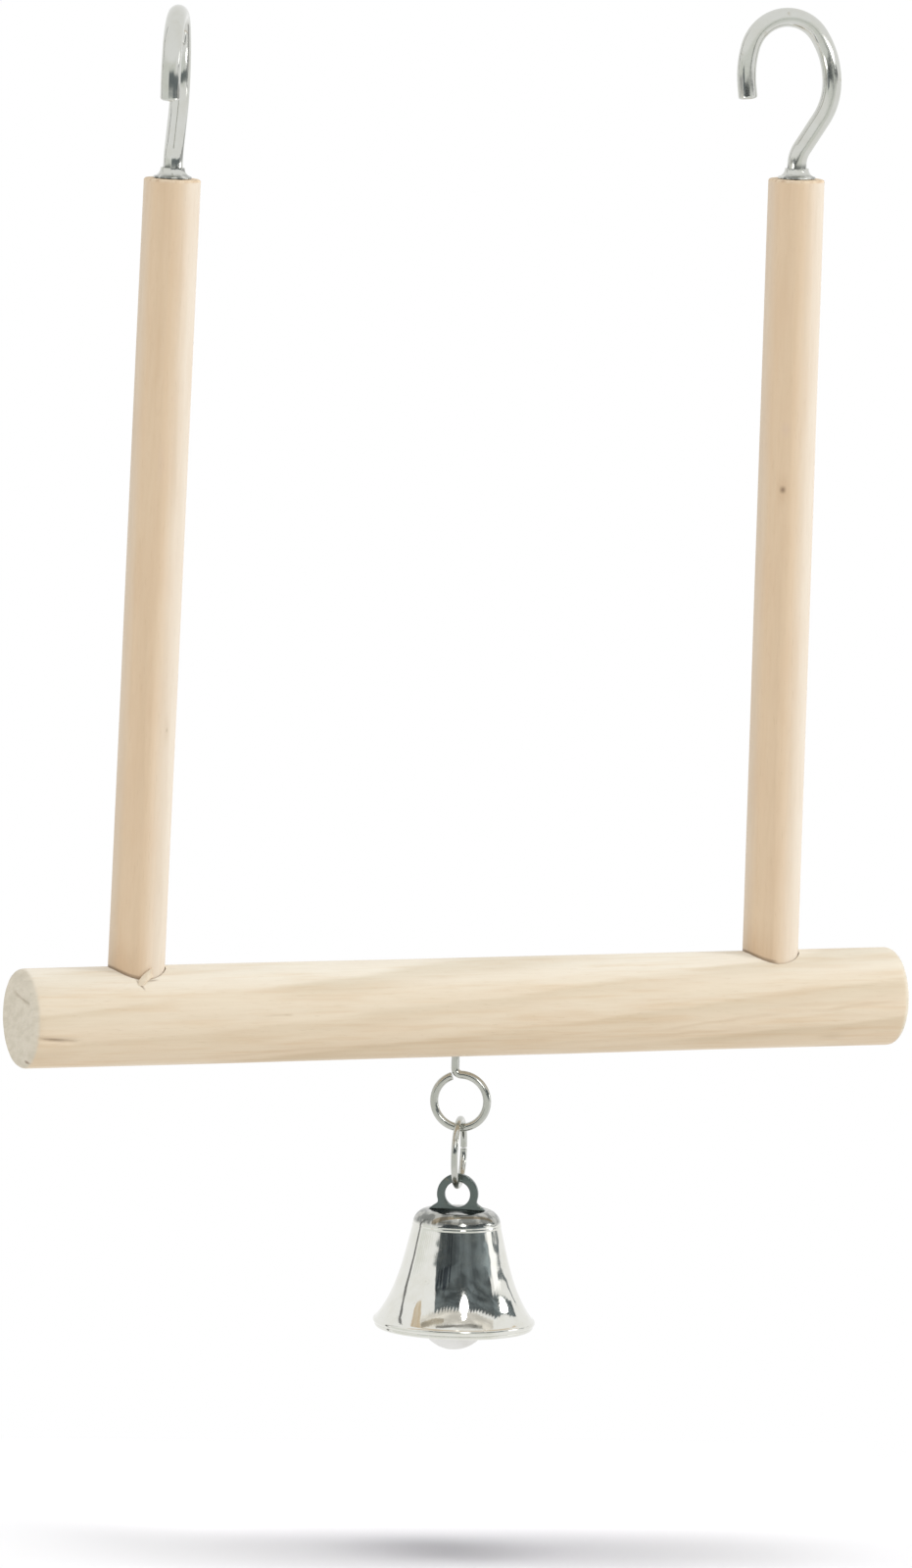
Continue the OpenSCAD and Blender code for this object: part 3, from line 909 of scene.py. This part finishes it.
class SWING_OT_hooks(bpy.types.Operator):
    """Make the two wire hooks, each with its screw thread in the wood"""

    bl_idname = "swing.hooks"
    bl_label = "Hooks"

    def execute(self, context):
        hooks = context.scene.swing_hooks
        radius = hooks.wire / MM / 2
        foot = seat("right")[0].z
        # A darker band low on the wire, just above the collar.
        dark_band = (foot + 1.5, foot + 2.4, 1.0)
        plate = plated("hook_plate", hooks.plate, hooks.gloss, 5.0, 0.05, 2.0, dark_band)
        skin = screw_radius(radius, hooks.shank / MM, hooks.pitch / MM, 3.0, 1.0)
        for side, turned in zip(SIDES, (hooks.left_turn, hooks.right_turn)):
            points, faces = wire(hook_stations(hooks), skin, 40, (0.12, 0.35))
            points = on_seat(points, side, math.degrees(turned))
            hook = new_piece(side + "_wire_hook", points, faces, plate)
            settle(hook, side + "_hook", "hook_plate", "hook_" + side)
        return {"FINISHED"}


class SWING_OT_collars(bpy.types.Operator):
    """Make the dished collar under each hook"""

    bl_idname = "swing.collars"
    bl_label = "Collars"

    def execute(self, context):
        hooks = context.scene.swing_hooks
        foot = seat("right")[0].z
        # Darker towards the collar's foot.
        dark_band = (foot + 0.1, foot + 0.9, 1.0)
        plate = plated("collar_plate", hooks.plate, hooks.gloss + 0.04, 2.0, 0.05, 5.0, dark_band)
        bore = hooks.wire / MM / 2 + 0.03
        rim = hooks.collar / MM / 2
        rise = hooks.collar_height / MM
        edge = 0.35
        outline = [(bore, 0.0), (rim - 0.1, 0.0), (rim, 0.1), (rim, edge - 0.1), (rim - 0.06, edge - 0.02)]
        for a in spread(0.0, math.pi / 2, 10)[1:]:
            dished = rim - (rim - bore - 0.3) * math.sin(a)
            outline.append((dished, edge + (rise - edge) * (1 - math.cos(a))))
        outline += [(bore + 0.12, rise), (bore, rise - 0.08), (bore, 0.0)]
        points, faces = lathe(outline, 72)
        for side in SIDES:
            collar = new_piece(side + "_collar", on_seat(points, side), faces, plate)
            settle(collar, side + "_hook", "collar_plate", "hook_collar_" + side)
        return {"FINISHED"}


class SWING_OT_screw_eye(bpy.types.Operator):
    """Make the screw eye: a threaded shank in the perch, a bent neck and an open ring"""

    bl_idname = "swing.screw_eye"
    bl_label = "Screw eye"

    def execute(self, context):
        bell = context.scene.swing_bell
        radius = bell.eye_wire / MM / 2
        stem, ring, pitch = 1.675, 3.75, 0.7
        path = Bend(-EYE_NECK, EYE_SHANK, 180)
        path.run(EYE_SHANK, 0.09).run(stem, 0.3).bend(EYE_NECK, -90, 10).bend(ring, 340, 4)
        skin = screw_radius(radius, EYE_SHANK, pitch, 2.0, 0.6)
        points, faces = wire(path.stations, skin, 32, (0.05, 0.12))
        plate = plated("eye_plate", bell.ring_plate, 0.16, 2.0, 0.05, 8.0)
        eye = new_piece("screw_eye_wire", on_line(points, perch_low.z), faces, plate)
        settle(eye, "wooden_frame", "eye_plate", "screw_eye")
        return {"FINISHED"}


def ring_stations(radius, start, end, step):
    """Part of a circle about the origin, from start to end degrees clockwise from the top."""
    angles = [math.radians(a) for a in spread(start, end, round((end - start) / step))]
    return [
        (Vector((math.sin(a), math.cos(a))) * radius, Vector((math.cos(a), -math.sin(a))), radius * a)
        for a in angles
    ]


class SWING_OT_jump_ring(bpy.types.Operator):
    """Make the jump ring, cut open at the back where its ends butt"""

    bl_idname = "swing.jump_ring"
    bl_label = "Jump ring"

    def execute(self, context):
        bell = context.scene.swing_bell
        low, high = node_box("jump_ring")
        radius = bell.link_wire / MM / 2
        large = (high.z - low.z) / 2 - radius
        gap = 0.15
        half_gap = math.degrees(gap / 2 / large)
        stations = ring_stations(large, 90 + half_gap, 450 - half_gap, 3.6)
        points, faces = wire(stations, lambda travel, angle: radius, 32, (0.08, 0.08))
        points = on_line(stand(points, 90), (low.z + high.z) / 2)
        plate = plated("ring_plate", bell.ring_plate, 0.14, 2.0, 0.04, 12.0)
        ring = new_piece("jump_ring_wire", points, faces, plate)
        settle(ring, "hanging_ring", "ring_plate", "jump_ring")
        return {"FINISHED"}


def bell_outline(bell):
    """The bell's outline from the middle of the crown inside, round the lip, to the middle outside."""
    mouth, neck = bell.mouth / MM / 2, bell.neck / MM / 2
    waist, crown, wall = bell.waist / MM, bell.crown / MM, bell.wall / MM
    round_lip, near_shoulder, flat = 0.35, 0.4, 4.2
    rim, shoulder = (mouth - 0.45, 0.0, 0.45), (neck - 0.3, waist, 0.35)
    lip = (mouth - 0.6, -0.6, round_lip)

    def body_radius(height):
        if height > waist:
            return flat + (neck - flat) * math.sqrt(max(0.0, 1 - ((height - waist) / crown) ** 2))
        down = 1 - height / waist
        return neck + (mouth - neck) * (0.62 * down + 0.38 * down**4)

    def beads(height, sign):
        reach = []
        for r, h, size in (rim, lip, shoulder):
            if abs(height - h) < size + POLE:
                reach.append(r + sign * math.sqrt(max(0.0, size**2 - (height - h) ** 2)))
        return reach

    low = lip[1] - round_lip
    heights = [low + round_lip * (1 - math.cos(math.radians(a))) for a in range(0, 91, 9)]
    heights += [low + round_lip + 0.07 * i for i in range(1, 20)]
    heights += spread(heights[-1], waist - near_shoulder, 36)[1:]
    heights += spread(waist - near_shoulder, waist + near_shoulder, 14)[1:]
    outside, inside = [], []
    for height in heights:
        body = [] if height < 0 else [body_radius(height)]
        outside.append((max(body + beads(height, 1)), height))
        inside.append((min([r - wall for r in body] + beads(height, -1)), height))
    first = math.asin(min(1.0, (heights[-1] - waist) / crown))
    for a in spread(first, math.pi / 2, 14)[1:]:
        reach = flat + (neck - flat) * math.cos(a)
        outside.append((reach, waist + crown * math.sin(a)))
        inside.append((reach - wall, waist + crown * math.sin(a) - wall * math.sin(a)))
    outside += [(r, waist + crown) for r in (3.4, 2.6, 1.8, 1.0, 0.4, 0.0)]
    inside += [(r, waist + crown - wall) for r in (3.0, 2.4, 1.8, 1.0, 0.4, 0.0)]
    return list(reversed(inside)) + outside[1:]


class SWING_OT_bell(bpy.types.Operator):
    """Make the bell: a thin turned shell with a beaded shoulder and a double rim"""

    bl_idname = "swing.bell"
    bl_label = "Bell"

    def execute(self, context):
        bell = context.scene.swing_bell
        crease = 50
        base = bell_high.z - (bell.waist + bell.crown) / MM
        shoulder = base + bell.waist / MM
        # Painted reflection: the crown is darkened in patches, standing in for a dark reflection.
        dark_band = (shoulder + 0.95, shoulder + 0.35, 0.45)
        plate = plated("bell_plate", bell.plate, bell.gloss, 6.0, 0.09, 21.0, dark_band)
        points, faces = lathe(bell_outline(bell), 192)
        shell = new_piece("bell_body", stand(points, 0, (bell_x, 0, base)), faces, plate, crease)
        drill(shell, [self.slot(bell)], crease)
        settle(shell, "bell", "bell_plate", "bell_shell")
        return {"FINISHED"}

    def slot(self, bell):
        """The cutter of the slot in the crown that the lug's tang goes through."""
        wide, thick = TANG + ROOM, bell.lug / MM / 2 + ROOM
        box = [Vector((x, y, z)) for x in (-wide, wide) for y in (-thick, thick) for z in (-1.6, 1.0)]
        sides = [(0, 1, 3, 2), (4, 6, 7, 5), (0, 4, 5, 1), (2, 3, 7, 6), (0, 2, 6, 4), (1, 5, 7, 3)]
        return new_piece("slot", on_line(box, bell_high.z), sides)


def arc(height, radius, start, end, count):
    """Points of an arc about a place on the middle line, from start to end degrees from the right."""
    turns = [math.radians(a) for a in spread(start, end, count)]
    return [(radius * math.cos(a), height + radius * math.sin(a)) for a in turns]


def lug_outline():
    """The lug's outline: the foot on the crown, the ring above it and the tang below it."""
    foot_drop, foot_radius, foot_half = 4.2, 5.8, 4.0
    ring_radius = 2.9
    meet = Vector((2.627, 0.971))
    foot_start = math.degrees(math.atan2(foot_drop, foot_half))
    foot_end = math.degrees(math.atan2(meet.y + foot_drop, meet.x))
    ring_start = math.degrees(math.atan2(meet.y - RING_RISE, meet.x))
    right = arc(-foot_drop, foot_radius, foot_start, foot_end, 8)
    ring = arc(RING_RISE, ring_radius, ring_start, 180 - ring_start, 56)[1:-1]
    left = arc(-foot_drop, foot_radius, 180 - foot_end, 180 - foot_start, 8)
    top = [Vector(p) for p in right + ring + left]
    corners = (meet, Vector((-meet.x, meet.y)))
    for _ in range(4):
        eased = [(a + b * 2 + c) / 4 for a, b, c in zip(top, top[1:], top[2:])]
        for i, spot in enumerate(eased, 1):
            if min((spot - corner).length for corner in corners) < 0.7:
                top[i] = spot
    tang = [(-TANG, 0.0)] + arc(-TANG_DROP, TANG, 180, 360, 20) + [(TANG, 0.0)]
    return top + [Vector(p) for p in tang]


def cut_plate(name, loops, thick, edge):
    """A flat plate filled between loops of points, with its edges eased, standing across Y."""
    curve = bpy.data.curves.new(name, "CURVE")
    curve.dimensions = "2D"
    curve.fill_mode = "BOTH"
    curve.extrude = thick / 2 - edge
    curve.bevel_depth = edge
    curve.bevel_resolution = 2
    curve.offset = -edge
    for loop in loops:
        line = curve.splines.new("POLY")
        line.points.add(len(loop) - 1)
        for point, spot in zip(line.points, loop):
            point.co = (spot[0], spot[1], 0.0, 1.0)
        line.use_cyclic_u = True
    holder = bpy.data.objects.new(name, curve)
    bpy.context.scene.collection.objects.link(holder)
    shaped = holder.evaluated_get(bpy.context.evaluated_depsgraph_get())
    flat = bpy.data.meshes.new_from_object(shaped)
    points = [Vector((v.co.x, -v.co.z, v.co.y)) for v in flat.vertices]
    faces = [tuple(f.vertices) for f in flat.polygons]
    bpy.data.objects.remove(holder)
    bpy.data.curves.remove(curve)
    bpy.data.meshes.remove(flat)
    return points, faces


class SWING_OT_lug(bpy.types.Operator):
    """Make the lug: a flat stamped ring on the crown, with a tang through it"""

    bl_idname = "swing.lug"
    bl_label = "Lug"

    def execute(self, context):
        bell = context.scene.swing_bell
        # Painted reflection: the lug's plate is darkened to stand in for a dark reflection.
        plate = plated("lug_plate", bell.lug_plate, 0.2, 3.0, 0.04, 31.0)
        loops = [lug_outline(), arc(RING_RISE, 1.8, 0, 352.5, 47), arc(-TANG_DROP, 0.75, 0, 345, 23)]
        points, faces = cut_plate("lug", loops, bell.lug / MM, 0.12)
        lug = new_piece("bell_lug_plate", on_line(points, bell_high.z), faces, plate)
        settle(lug, "bell", "lug_plate", "bell_lug")
        return {"FINISHED"}


class SWING_OT_clapper(bpy.types.Operator):
    """Make the clapper: a wire looped through the tang, and a ball pressed on its end"""

    bl_idname = "swing.clapper"
    bl_label = "Clapper"

    def execute(self, context):
        bell = context.scene.swing_bell
        radius = 0.35
        low, high = node_box("clapper_wire")
        pivot = high.z - radius
        points, faces = wire(self.stations(pivot - low.z), lambda travel, angle: radius, 24, (0.08, 0.08))
        points = on_line(stand(points, 90), pivot)
        plate = plated("clapper_plate", bell.ring_plate, 0.2, 2.0, 0.03, 38.0)
        hung = new_piece("clapper_loop_wire", points, faces, plate)
        settle(hung, "clapper", "ring_plate", "clapper_wire")

        low, high = node_box("clapper_ball")
        points, faces = lathe(self.ball_outline(bell.ball / MM / 2), 96)
        points = on_line(points, (low.z + high.z) / 2)
        ball = new_piece("clapper_ball_turned", points, faces, satin_ball(), 50)
        settle(ball, "clapper", "clapper_steel", "clapper_ball")
        return {"FINISHED"}

    def stations(self, size):
        """The clapper's wire from its low end up, eased into its loop and once round it."""
        loop, lead, end = 2.25, 26.0, 344.0

        def on_loop(degrees):
            turned = math.radians(degrees)
            across, up = math.sin(turned), math.cos(turned)
            return Vector((across, -up)) * loop + Vector((0, -loop)), Vector((up, across))

        start = Vector((0.0, -2 * loop - 0.75))
        first, way = on_loop(lead)
        a, b = start + Vector((0, 0.45)), first - way * 0.35
        places = []
        for t in spread(0.0, 1.0, 8)[1:]:
            u = 1 - t
            spot = start * u**3 + a * 3 * t * u**2 + b * 3 * t**2 * u + first * t**3
            way = (a - start) * u**2 + (b - a) * 2 * t * u + (first - b) * t**2
            places.append((spot, way.normalized()))
        places += [on_loop(degrees) for degrees in spread(lead, end, 76)[1:]]
        path = Bend(0.0, -size, 0).run(size + start.y, 0.4)
        stations, travel = path.stations, path.travel
        for spot, way in places:
            travel += (spot - stations[-1][0]).length
            stations.append((spot, way, travel))
        return stations

    def ball_outline(self, radius):
        """Half the ball's outline, with a fine seam round its middle and the bore for the wire."""
        seam, bore = 0.04, 0.38
        outline = [(0.0, -radius + seam)]
        for a in spread(0.0, math.pi, 64)[1:]:
            reach = radius - seam + seam * math.exp(-((a - math.pi / 2) / 0.035) ** 2)
            out, up = reach * math.sin(a), -reach * math.cos(a)
            if out > 0.5 or up < 0:
                outline.append((out, up))
        outline += [(bore + 0.06, radius - 0.09), (bore, radius - 0.16), (bore, radius - 3.0)]
        return outline + [(0.0, radius - 3.0)]


# the stage


def heading(azimuth, elevation):
    """The direction from the swing towards a place round it."""
    return Vector((
        math.sin(azimuth) * math.cos(elevation),
        -math.cos(azimuth) * math.cos(elevation),
        math.sin(elevation),
    ))


def aim(stage, side, height):
    """The same for a side and a height in degrees, where side 0 is the camera's own direction."""
    return heading(stage.azimuth + math.radians(side), math.radians(height))


def soft_lamp(name, stage, side, height, reach, size, power):
    """An oblong soft lamp that faces the swing, and that no metal mirrors."""
    lamp = bpy.data.lights.new(name, "AREA")
    lamp.shape = "RECTANGLE"
    lamp.size, lamp.size_y = size
    lamp.energy = power
    holder = bpy.data.objects.new(name, lamp)
    bpy.context.scene.collection.objects.link(holder)
    way = aim(stage, side, height)
    holder.location = Vector(stage.target) + way * reach
    holder.rotation_mode = "QUATERNION"
    holder.rotation_quaternion = way.to_track_quat("Z", "Y")
    holder.visible_glossy = False
    return holder


def glowing_card(name, points, faces, bright, hue=(1.0, 1.0, 1.0), mottle=0.0):
    """A card that is seen only in the metal. Mottle is the share of its brightness that comes and goes."""
    material, mix = new_material(name)
    colour = (*hue, 1.0)
    if mottle:
        x, y, z = mix.place()
        wide, high = 45, 45 / 8
        lumps = mix.cloud((x / wide, y / wide, z / high), 3.0, 0.6)
        dim, full = [[part * much for part in hue] for much in (1 - mottle, 1 + mottle)]
        colour = mix.blend(mix.ramp(lumps, 0.35, 0.7), dim, full)
    glow = mix.add("ShaderNodeEmission", None, {"Color": colour, "Strength": bright})
    mix.add("ShaderNodeOutputMaterial", None, {"Surface": glow})
    piece = new_piece(name, points, faces, material)
    for ray in ("camera", "diffuse", "shadow", "transmission"):
        setattr(piece, "visible_" + ray, False)


def card(name, stage, about, reach, rows, *looks):
    """A curved card round a point. The point and reach are in millimetres.

    Each row is a side, and the lowest and highest place of the card there, in degrees from the camera.
    """
    columns = [Vector(rows[0])]
    for row, after in zip(rows, rows[1:]):
        steps = max(1, round((after[0] - row[0]) / 6))
        columns += [Vector(row).lerp(Vector(after), i / steps) for i in range(1, steps + 1)]
    points, faces, levels = [], [], 8
    for side, low, high in columns:
        points += [about + aim(stage, side, height) * reach for height in spread(low, high, levels)]
    # A column has levels + 1 points, but faces are joined by steps of levels. So they run askew, leave
    # slits, and stop a ninth before the last row. The rows were matched to the photo with this.
    for start in range(0, (len(columns) - 1) * levels, levels):
        for at in range(start, start + levels - 1):
            faces.append((at, at + levels, at + levels + 1, at + 1))
    glowing_card(name, points, faces, *looks)


def spot_card(name, stage, about, reach, at, size, slope, bright):
    """A bright oval card. Its place, and half its width and height, are in degrees from the camera."""
    points = []
    for turned in spread(0, 2 * math.pi, 33)[:-1]:
        run = size[0] * math.cos(turned)
        rise = size[1] * math.sin(turned) + slope * run
        points.append(about + aim(stage, at[0] + run, at[1] + rise) * reach)
    glowing_card(name, points, [tuple(range(len(points)))], bright)


class SWING_OT_stage(bpy.types.Operator):
    """Set the camera, the lamps, the pale floor, the white room and the cards"""

    bl_idname = "swing.stage"
    bl_label = "Stage"

    def execute(self, context):
        stage = context.scene.swing_stage
        self.camera(stage)
        self.room(stage)
        floor = self.floor(stage)
        soft_lamp("side_lamp", stage, 91, 26, 1.5, (0.26, 0.26), stage.side_light)
        soft_lamp("front_lamp", stage, 10, 34, 1.5, (0.2, 0.3), stage.front_light)
        above = soft_lamp("floor_lamp", stage, 0, 90, 2.0, (1.2, 0.74), stage.floor_light)
        only_floor = bpy.data.collections.new("floor_only")
        only_floor.objects.link(floor)
        above.light_linking.receiver_collection = only_floor
        self.far_cards(stage)
        self.bell_cards(stage)
        self.hook_cards(stage)
        context.scene.view_settings.view_transform = "Standard"
        return {"FINISHED"}

    def far_cards(self, stage):
        """The pale near wall, and the thin dark gap on its left."""
        about = Vector(stage.target) / MM
        rows = [(-113, -30, 12), (-109.5, -30, 27), (-106, 18, 40), (-102.5, 35, 50)]
        card("left_gap_card", stage, about, 3000, rows, 0.2)
        rows = [(-100, -40, 13.5), (79, -40, 13.5)]
        card("near_card", stage, about, 3000, rows, 0.87, tone(252, 254, 250))

    def bell_cards(self, stage):
        """Cards close round the bell, that the hooks hardly see."""
        about = Vector((bell_x, 0.0, (bell_low.z + bell_high.z) / 2))
        dark = tone(232, 248, 255)
        cards = {
            "opening_card": (100, [
                (-52, 12.5, 16), (-43, 12.5, 18), (-40, 12.5, 22), (-37.5, 12.5, 32), (-36.5, 12.5, 40),
                (-7, 12.5, 41), (24, 12.5, 40.5), (48, 12.0, 37.5), (76, 11.4, 36), (80, 11.3, 18),
                (91, 11.2, 13.6),
            ], 0.165, dark, 0.5),
            "opening_top_card": (98, [(40, 11, 13.5), (55, 11, 15), (84, 11, 14.5)], 0.33, dark, 0.4),
            "opening_deep_card": (98, [(-38, 19, 26), (-8, 18, 27)], 0.06, tone(220, 238, 255), 0.5),
            "opening_wing_card": (100, [
                (76, 20, 37), (91, 17.5, 29), (112, 13.5, 21.5), (127, 11, 17),
            ], 0.22, dark, 0.5),
            "right_gap_card": (100, [
                (97, 10, 12), (104, 8.2, 10.2), (110, 6.7, 8.7), (118, 6, 8), (124, 6, 8), (133, 8.3, 10.2),
            ], 0.2, dark),
            "bright_wall_card": (103, [(83, 0, 18.5), (91, 0, 16.5), (107, 0, 12)], 1.35),
            "rim_card": (104, [(-62, 38, 53), (92, 38, 51)], 0.84, (1.0, 0.96, 0.9), 0.2),
            "rim_brown_card": (103, [
                (-62, 44, 50), (-40, 43, 50), (-14, 46, 50),
            ], 0.5, (1.0, 0.9, 0.74), 0.25),
            "rim_line_card": (102, [
                (-35, 50.5, 53.5), (7, 52, 55), (40, 49.5, 52.5), (68, 45, 48),
            ], 0.3, (1.0, 0.97, 0.9), 0.3),
        }
        for name, (reach, rows, *looks) in cards.items():
            card(name, stage, about, reach, rows, *looks)
        spots = {
            "front_spot_card": ((18, 34.5), (8, 6.5), 0.0),
            "front_tail_card": ((19, 42), (4, 4.5), 0.0),
            "side_spot_card": ((97, 21.5), (9, 3.2), -0.34),
        }
        for name, spot in spots.items():
            spot_card(name, stage, about, 92, *spot, 6.0)

    def hook_cards(self, stage):
        """For each hook a dark card and a bright spot, and one more card for the right hook's tip."""
        bands = {
            "left": ([
                (-17, -17.5, 1), (30, -17.5, 1), (34, -20, -3), (75, -15.5, -4.5), (116, -9.5, -6.5),
            ], 0.2),
            "right": ([
                (-45, -22, -8), (-20, -19, -7.5), (-4, -15, -6), (14, -10.5, -5.2), (24, -7, -4.4),
                (31, -4.6, -3.4), (40, -4.4, 0), (65, -3.2, 3.5), (81, -2, 4.5), (95, -1.4, 5),
            ], 0.09),
        }
        spots = {"left": ((84, -22), (22, 5.5), 0.3), "right": ((60, 7.5), (15, 3.8), 0.3)}
        to_middle = 14.8
        for side in SIDES:
            top, axis = seat(side)
            about = top + axis * to_middle
            rows, bright = bands[side]
            card("hook_band_card_" + side, stage, about, 60, rows, bright, tone(236, 250, 255))
            spot_card("hook_spot_card_" + side, stage, about, 58, *spots[side], 4.0)
        card("hook_tip_card", stage, about, 62, [(-90, -14, -4.5), (-46, -14, -4.5)], 0.5)

    def camera(self, stage):
        """The camera, a little turned about its own axis."""
        back = heading(stage.azimuth, stage.elevation)
        right = Vector((math.cos(stage.azimuth), math.sin(stage.azimuth), 0.0))
        upward = back.cross(right)
        rolled = right * math.cos(stage.roll) - upward * math.sin(stage.roll)
        risen = right * math.sin(stage.roll) + upward * math.cos(stage.roll)
        turned = Matrix((rolled, risen, back)).transposed().to_4x4()
        lens = bpy.data.cameras.new("camera")
        lens.lens = stage.lens
        lens.sensor_width = 36.0
        lens.clip_start, lens.clip_end = 0.05, 50.0
        camera = bpy.data.objects.new("camera", lens)
        bpy.context.scene.collection.objects.link(camera)
        camera.matrix_world = Matrix.Translation(Vector(stage.target) + back * stage.distance) @ turned
        bpy.context.scene.camera = camera

    def room(self, stage):
        """A world that looks white and is white in the metal, and that lights all else more softly."""
        world = bpy.data.worlds.new("white_room")
        world.use_nodes = True
        mix = Finish(world.node_tree)
        seen = mix.add("ShaderNodeLightPath", output="Is Camera Ray")
        rays = seen.socket.node.outputs
        for ray in ("Is Glossy Ray", "Is Transmission Ray"):
            seen = mix.maths("MAXIMUM", seen, Reading(mix, rays[ray]))
        strength = stage.room_light + seen * (1.0 - stage.room_light)
        glow = mix.add("ShaderNodeBackground", None, {"Color": (1, 1, 1, 1), "Strength": strength})
        mix.add("ShaderNodeOutputWorld", None, {"Surface": glow})
        bpy.context.scene.world = world

    def floor(self, stage):
        """A matt floor with a painted soft shadow under the swing beside its real one, that turns into
        plain white all round.
        """
        material, mix = new_material("pale_floor")
        grey, black, white = (0.503, 0.498, 0.511), (0.0, 0.0, 0.0), (1.0, 1.0, 1.0, 1.0)
        shadow_x, shadow_y, shadow_depth = 6.0, -3.0, 0.26
        tilt = 0.042
        x, y = mix.place()[:2]
        aside = abs(x - shadow_x)
        # Painted shadow: a soft darker patch in the floor's colour under the swing.
        painted_shadow = mix.ramp(aside, 12, 104, 1.0, 0.0) * mix.ramp(abs(y - shadow_y), 2, 31, 1.0, 0.0)
        colour = mix.blend(painted_shadow * shadow_depth, grey, black)
        matt = mix.add("ShaderNodeBsdfDiffuse", None, {"Color": colour})
        plain = mix.add("ShaderNodeEmission", None, {"Color": white, "Strength": 1.0})
        far = mix.maths("MAXIMUM", mix.ramp(aside, 8, 100), mix.ramp(abs(y), 40, 90))
        shown = mix.add("ShaderNodeMixShader", None, {0: far, 1: matt, 2: plain})
        mix.add("ShaderNodeOutputMaterial", None, {"Surface": shown})
        points, faces = lathe([(0.0, 0.0), (400.0, 0.0), (4000.0, 0.0)], 64)
        points = [Vector((p.x, p.y, -stage.floor_drop / MM - tilt * p.x)) for p in points]
        floor = new_piece("studio_floor", points, faces, material)
        floor.visible_diffuse = False
        floor.visible_glossy = False
        return floor


# panel and run

SETTINGS = {
    "swing_dowels": DowelSettings,
    "swing_hooks": HookSettings,
    "swing_bell": BellSettings,
    "swing_stage": StageSettings,
}
OPERATORS = (
    SWING_OT_perch, SWING_OT_uprights, SWING_OT_splinter, SWING_OT_hooks, SWING_OT_collars,
    SWING_OT_screw_eye, SWING_OT_jump_ring, SWING_OT_bell, SWING_OT_lug, SWING_OT_clapper, SWING_OT_stage,
)


class SWING_PT_panel(bpy.types.Panel):
    """Lists the pieces of the swing, and their sizes and colours"""

    bl_label = "Bird swing"
    bl_idname = "SWING_PT_panel"
    bl_space_type = "VIEW_3D"
    bl_region_type = "UI"
    bl_category = "Swing"

    def draw(self, context):
        for operator in OPERATORS:
            self.layout.operator(operator.bl_idname)
        for name, group in SETTINGS.items():
            box = self.layout.box()
            for entry in group.__annotations__:
                box.prop(getattr(context.scene, name), entry)


def register():
    for group in SETTINGS.values():
        bpy.utils.register_class(group)
    for name, group in SETTINGS.items():
        setattr(bpy.types.Scene, name, PointerProperty(type=group))
    for operator in (*OPERATORS, SWING_PT_panel):
        bpy.utils.register_class(operator)


def unregister():
    for operator in reversed((*OPERATORS, SWING_PT_panel)):
        bpy.utils.unregister_class(operator)
    for name in SETTINGS:
        delattr(bpy.types.Scene, name)
    for group in SETTINGS.values():
        bpy.utils.unregister_class(group)


def main():
    register()
    for spare in [o for o in bpy.data.objects if o.name in ("Cube", "Light", "Camera")]:
        bpy.data.objects.remove(spare)
    for operator in OPERATORS:
        family, name = operator.bl_idname.split(".")
        getattr(getattr(bpy.ops, family), name)()


if __name__ == "__main__":
    main()
